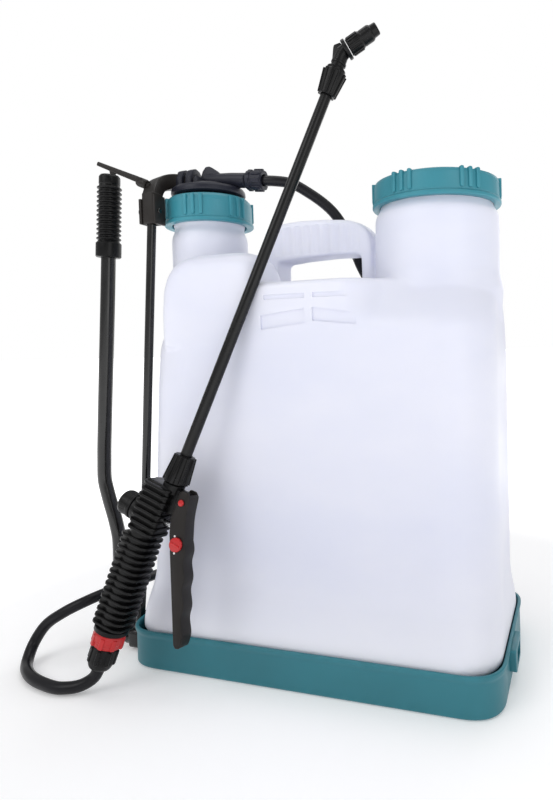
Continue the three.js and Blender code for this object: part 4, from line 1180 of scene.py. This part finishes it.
def make_stitches(side):
    path, _ = pad_locator(side)
    made = []
    fine = smooth_path([tuple(p) for p in path], 4.6)
    fine_frames = path_frames(fine, up=(0.0, 1.0, 0.0))
    surface = PAD_THICK / 2 + 0.9
    for across in (-CHANNEL_FROM_MIDDLE, CHANNEL_FROM_MIDDLE):
        for k in range(3, len(fine) - 3):
            tangent, sidewards, normal = fine_frames[k]
            middle = fine[k] + sidewards * across + normal * surface
            made.append(stitch(middle, tangent))
    return join("stitches", *made)


def stitch(middle, tangent):
    half = 1.4
    ends = [tuple(middle - tangent * half), tuple(middle), tuple(middle + tangent * half)]
    return sweep("stitch", ends, circle(0.42, 8), 1.0, up=(0.3, 0.9, 0.1),
                 scale=lambda t: 0.45 + 0.55 * math.sin(math.pi * t))


def ribbon(points, width, thick, side):
    return sweep("web", mirrored(points, side), rounded_rect(width, thick, thick * 0.45, 3), 3.0,
                 up=(0, 1, 0))


TOP_WEB = [(74, 95.5, 360), (74, 97.5, 374), (74, 104, 386), (75.5, 116, 391), (78, 131, 384), (81, 144, 368),
           (84, 153, 344)]
LOW_WEB = [(112, 151, 134), (115, 140, 108), (117.4, 129.5, 82), (118, 126.8, 70), (118, 124.6, 62),
           (118, 120, 50), (118, 112.5, 40), (118, 105.6, 30), (118, 105.6, 16)]
TAIL_WEB = [(118, 127.6, 60), (118.6, 131, 48), (119.2, 134, 34), (119, 133.5, 20), (118.4, 131, 8)]


def make_anchor(side):
    """Moulded loop on the tank's back that the top of the strap passes through."""
    frame_outline = rounded_rect(62, 20, 5, 5)
    ring = prism("strap_anchor", frame_outline, 88.4, 101.0, "XZ", 2.0, 3)
    hole = prism("hole", rounded_rect(46, 30, 2, 3), 92.2, 98.6, "XZ")
    cut(ring, hole)
    return move(ring, shift(side * STRAP_TOP_X, 0, 356))


def make_buckle(side):
    body = prism("strap_buckle", rounded_rect(50, 38, 6, 6), 121, 127, "XZ", 1.4, 3)
    slots = [move(prism("slot", rounded_rect(38, 8.5, 2, 4), 110, 140, "XZ"), shift(0, 0, z)) for z in (8,
                                                                                                        -8)]
    cut(body, *slots)
    teeth = [block("tooth", (-17, 126.2, z - 0.6), (17, 128.2, z + 0.6), 0.3) for z in (-2, 0.2, 2.4)]
    union(body, *teeth)
    return move(body, shift(side * STRAP_LOW_X, 0, 62))


def make_hose_clip():
    block_body = block("hose_clip_fine", (13.5, 88.3, 294), (32, 112, 306), 2.0, 3)
    hole = move(cylinder("hole", HOSE_RADIUS + 0.5, 280, 320, 40),
                shift(22.6, 103.6, 0))
    mouth = block("mouth", (19.4, 104, 280), (25.8, 120, 320))
    return cut(block_body, hole, mouth)


# ---------- assembly ----------
piece(make_tank(), "tank_shell", TANK, BODY, ["tank"], 45)
piece(make_base(), "base_tray", TEAL, BODY, ["base_skirt"])
piece(make_filler_cap(), "filler_cap", TEAL_LID, "filler_lid", ["filler_lid"])
piece(make_ring_nut(), "ring_nut_fine", TEAL_LID, "ring_nut", ["ring_nut"])
piece(make_pump_head(), "pump_cap", HEAD, "pump", ["pump_head"])
piece(make_outlet_nut(), "outlet_nut_fine", HEAD, "outlet_nut", ["outlet_nut"])
piece(make_arm(), "drive_arm_fine", ARM, "arm_and_rod", ["drive_arm"])
piece(make_clamp_screw(), "clamp_screw_fine", BLACK_STEEL, "arm_and_rod", ["clamp_screw"])
piece(make_rod(), "drive_rod_fine", BLACK_STEEL, "arm_and_rod", ["drive_rod"])
piece(make_lever(), "lever_rod", BLACK_STEEL, "lever", ["lever_tube"])
piece(make_lever_grip(), "lever_handgrip", BLACK, "lever", ["lever_grip"])
piece(make_wand_body(), "wand_body", BLACK, "wand", ["wand_handle"])
piece(make_valve_cap(), "valve_cap_fine", BLACK, "valve_cap", ["valve_cap"])
piece(make_trigger(), "trigger_lever", ARM, "trigger", ["trigger"])
piece(make_dial(), "lock_dial", RED, "trigger_lock", ["trigger_lock"])
piece(make_marks(), "lock_marks", WHITE, "trigger")
piece(make_pin(), "trigger_pin_fine", RED, "wand", ["trigger_pin"])
piece(make_inlet_nut(), "inlet_nut_fine", RED, "inlet_nut", ["inlet_nut"])
piece(make_ferrule(), "ferrule_fine", BLACK, "wand", ["hose_ferrule"])
piece(cone_nut("lance_nut_fine", 12.6, 10.1, 156, 183), "lance_nut_fine", BLACK, "lance_nut",
      ["lance_nut"])
piece(cone_nut("tip_nut_fine", 8.7, 11.5, 554, 578), "tip_nut_fine", BLACK, "tip_nut",
      ["tip_nut"])
lance = lathe("lance_tube_fine", [(4, 153.3), (5.5, 153.3), (5.5, 560), (4, 560)], 56, 0.3, closed=True)
piece(move(lance, wand_matrix()), "lance_tube_fine", LANCE, "wand", ["lance_tube"])
piece(make_elbow(), "elbow_fine", BLACK, "wand", ["lance_elbow"])
piece(make_nozzle(), "nozzle_fine", BLACK, "nozzle_cap", ["nozzle_cap"])
piece(make_hose_clip(), "hose_clip_fine", BLACK, BODY, ["hose_clip"])

pump_hose = piece(make_hose(PUMP_HOSE), "hose_pump", HOSE, None, ["hose_upper"])
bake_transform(pump_hose)
wand_hose = piece(make_hose(WAND_HOSE), "hose_wand", HOSE, None, ["hose_lower"])
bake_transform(wand_hose)

for side, name in ((-1, "left"), (1, "right")):
    piece(make_pad(side), f"pad_{name}", PAD_CLOTH, BODY, [f"strap_{name}"], 60)
    piece(make_piping(side), f"pad_edge_{name}", WEBBING, BODY)
    piece(make_stitches(side), f"pad_stitches_{name}", THREAD, BODY)
    piece(ribbon(TOP_WEB, 42, 1.7, side), f"top_web_{name}", WEBBING, BODY)
    piece(ribbon(LOW_WEB, 34, 1.6, side), f"low_web_{name}", WEBBING, BODY)
    piece(ribbon(TAIL_WEB, 34, 1.5, side), f"tail_web_{name}", WEBBING, BODY)
    piece(make_anchor(side), f"strap_anchor_{name}", TANK, BODY)
    piece(make_buckle(side), f"buckle_{name}", BLACK, BODY, [f"strap_buckle_{name}"])

SLOT_LOOKS = {
    "tank_shell": TANK, "teal_base": TEAL, "teal_lid": TEAL_LID, "black_plastic": BLACK, "head_plastic": HEAD,
    "arm_plastic": ARM, "red_plastic": RED, "clear_plastic": CLEAR, "rubber": RUBBER, "hose_rubber": HOSE,
    "black_steel": BLACK_STEEL, "steel": STEEL, "webbing": WEBBING,
}
for entry in frame["record"]["subparts"]:
    node = frame["nodes"].get(entry["node"])
    if node is not None:
        node.data.materials.clear()
        node.data.materials.append(SLOT_LOOKS[entry["material_slot"]])

# ---------- studio ----------
FLOOR_Z = -0.0006


def make_floor():
    verts = [(-60, -60, FLOOR_Z), (60, -60, FLOOR_Z), (60, 60, FLOOR_Z), (-60, 60, FLOOR_Z)]
    floor = new_object("floor", [tuple(c / MM for c in v) for v in verts], [[0, 1, 2, 3]])
    floor.data.materials.append(floor_material())


def area_light(name, place, target, size, power):
    data = bpy.data.lights.new(name, "AREA")
    data.shape = "RECTANGLE"
    data.size, data.size_y = size
    data.energy = power
    light = bpy.data.objects.new(name, data)
    light.location = place
    light.rotation_euler = (Vector(target) - Vector(place)).to_track_quat("-Z", "Y").to_euler()
    bpy.context.scene.collection.objects.link(light)


SKY_LIGHT = 0.5  # the sky looks pure white, but lights the object less


def make_world():
    world = bpy.data.worlds.new("studio")
    world.use_nodes = True
    tree = world.node_tree
    background = tree.nodes["Background"]
    background.inputs["Color"].default_value = (1.0, 1.0, 1.0, 1.0)
    path = tree.nodes.new("ShaderNodeLightPath")
    strength = tree.nodes.new("ShaderNodeMapRange")
    strength.inputs["To Min"].default_value = SKY_LIGHT
    strength.inputs["To Max"].default_value = 1.0
    tree.links.new(path.outputs["Is Camera Ray"], strength.inputs["Value"])
    tree.links.new(strength.outputs["Result"], background.inputs["Strength"])
    bpy.context.scene.world = world


CAMERA_AT = (0.25894, -0.60967, 0.32267)
CAMERA_RIGHT = (0.9512, 0.3075, -0.0250)
CAMERA_UP = (0.0125, 0.0427, 0.9990)
LENS_MM, SENSOR_MM = 27.288, 36.0
LENS_SHIFT = (-0.1305, -0.0358)


def make_camera():
    data = bpy.data.cameras.new("camera")
    data.sensor_fit = "VERTICAL"
    data.sensor_height = SENSOR_MM
    data.lens = LENS_MM
    data.shift_x, data.shift_y = LENS_SHIFT
    camera = bpy.data.objects.new("camera", data)
    right = Vector(CAMERA_RIGHT).normalized()
    up = Vector(CAMERA_UP)
    back = right.cross(up).normalized()
    up = back.cross(right)
    basis = Matrix((right, up, back)).transposed().to_4x4()
    camera.matrix_world = Matrix.Translation(CAMERA_AT) @ basis
    bpy.context.scene.collection.objects.link(camera)
    bpy.context.scene.camera = camera


make_floor()
make_world()
area_light("key", (-0.9, -1.6, 1.6), (0.0, 0.0, 0.25), (1.2, 1.2), 11.0)
area_light("fill", (1.5, -1.3, 0.9), (0.0, 0.0, 0.25), (1.0, 1.4), 6.0)
area_light("top", (0.0, 0.1, 1.9), (0.0, 0.0, 0.2), (1.6, 1.0), 7.0)
area_light("rim", (0.2, 1.6, 1.0), (0.0, 0.0, 0.3), (1.4, 1.0), 6.0)
make_camera()
bpy.context.scene.view_settings.view_transform = "Standard"
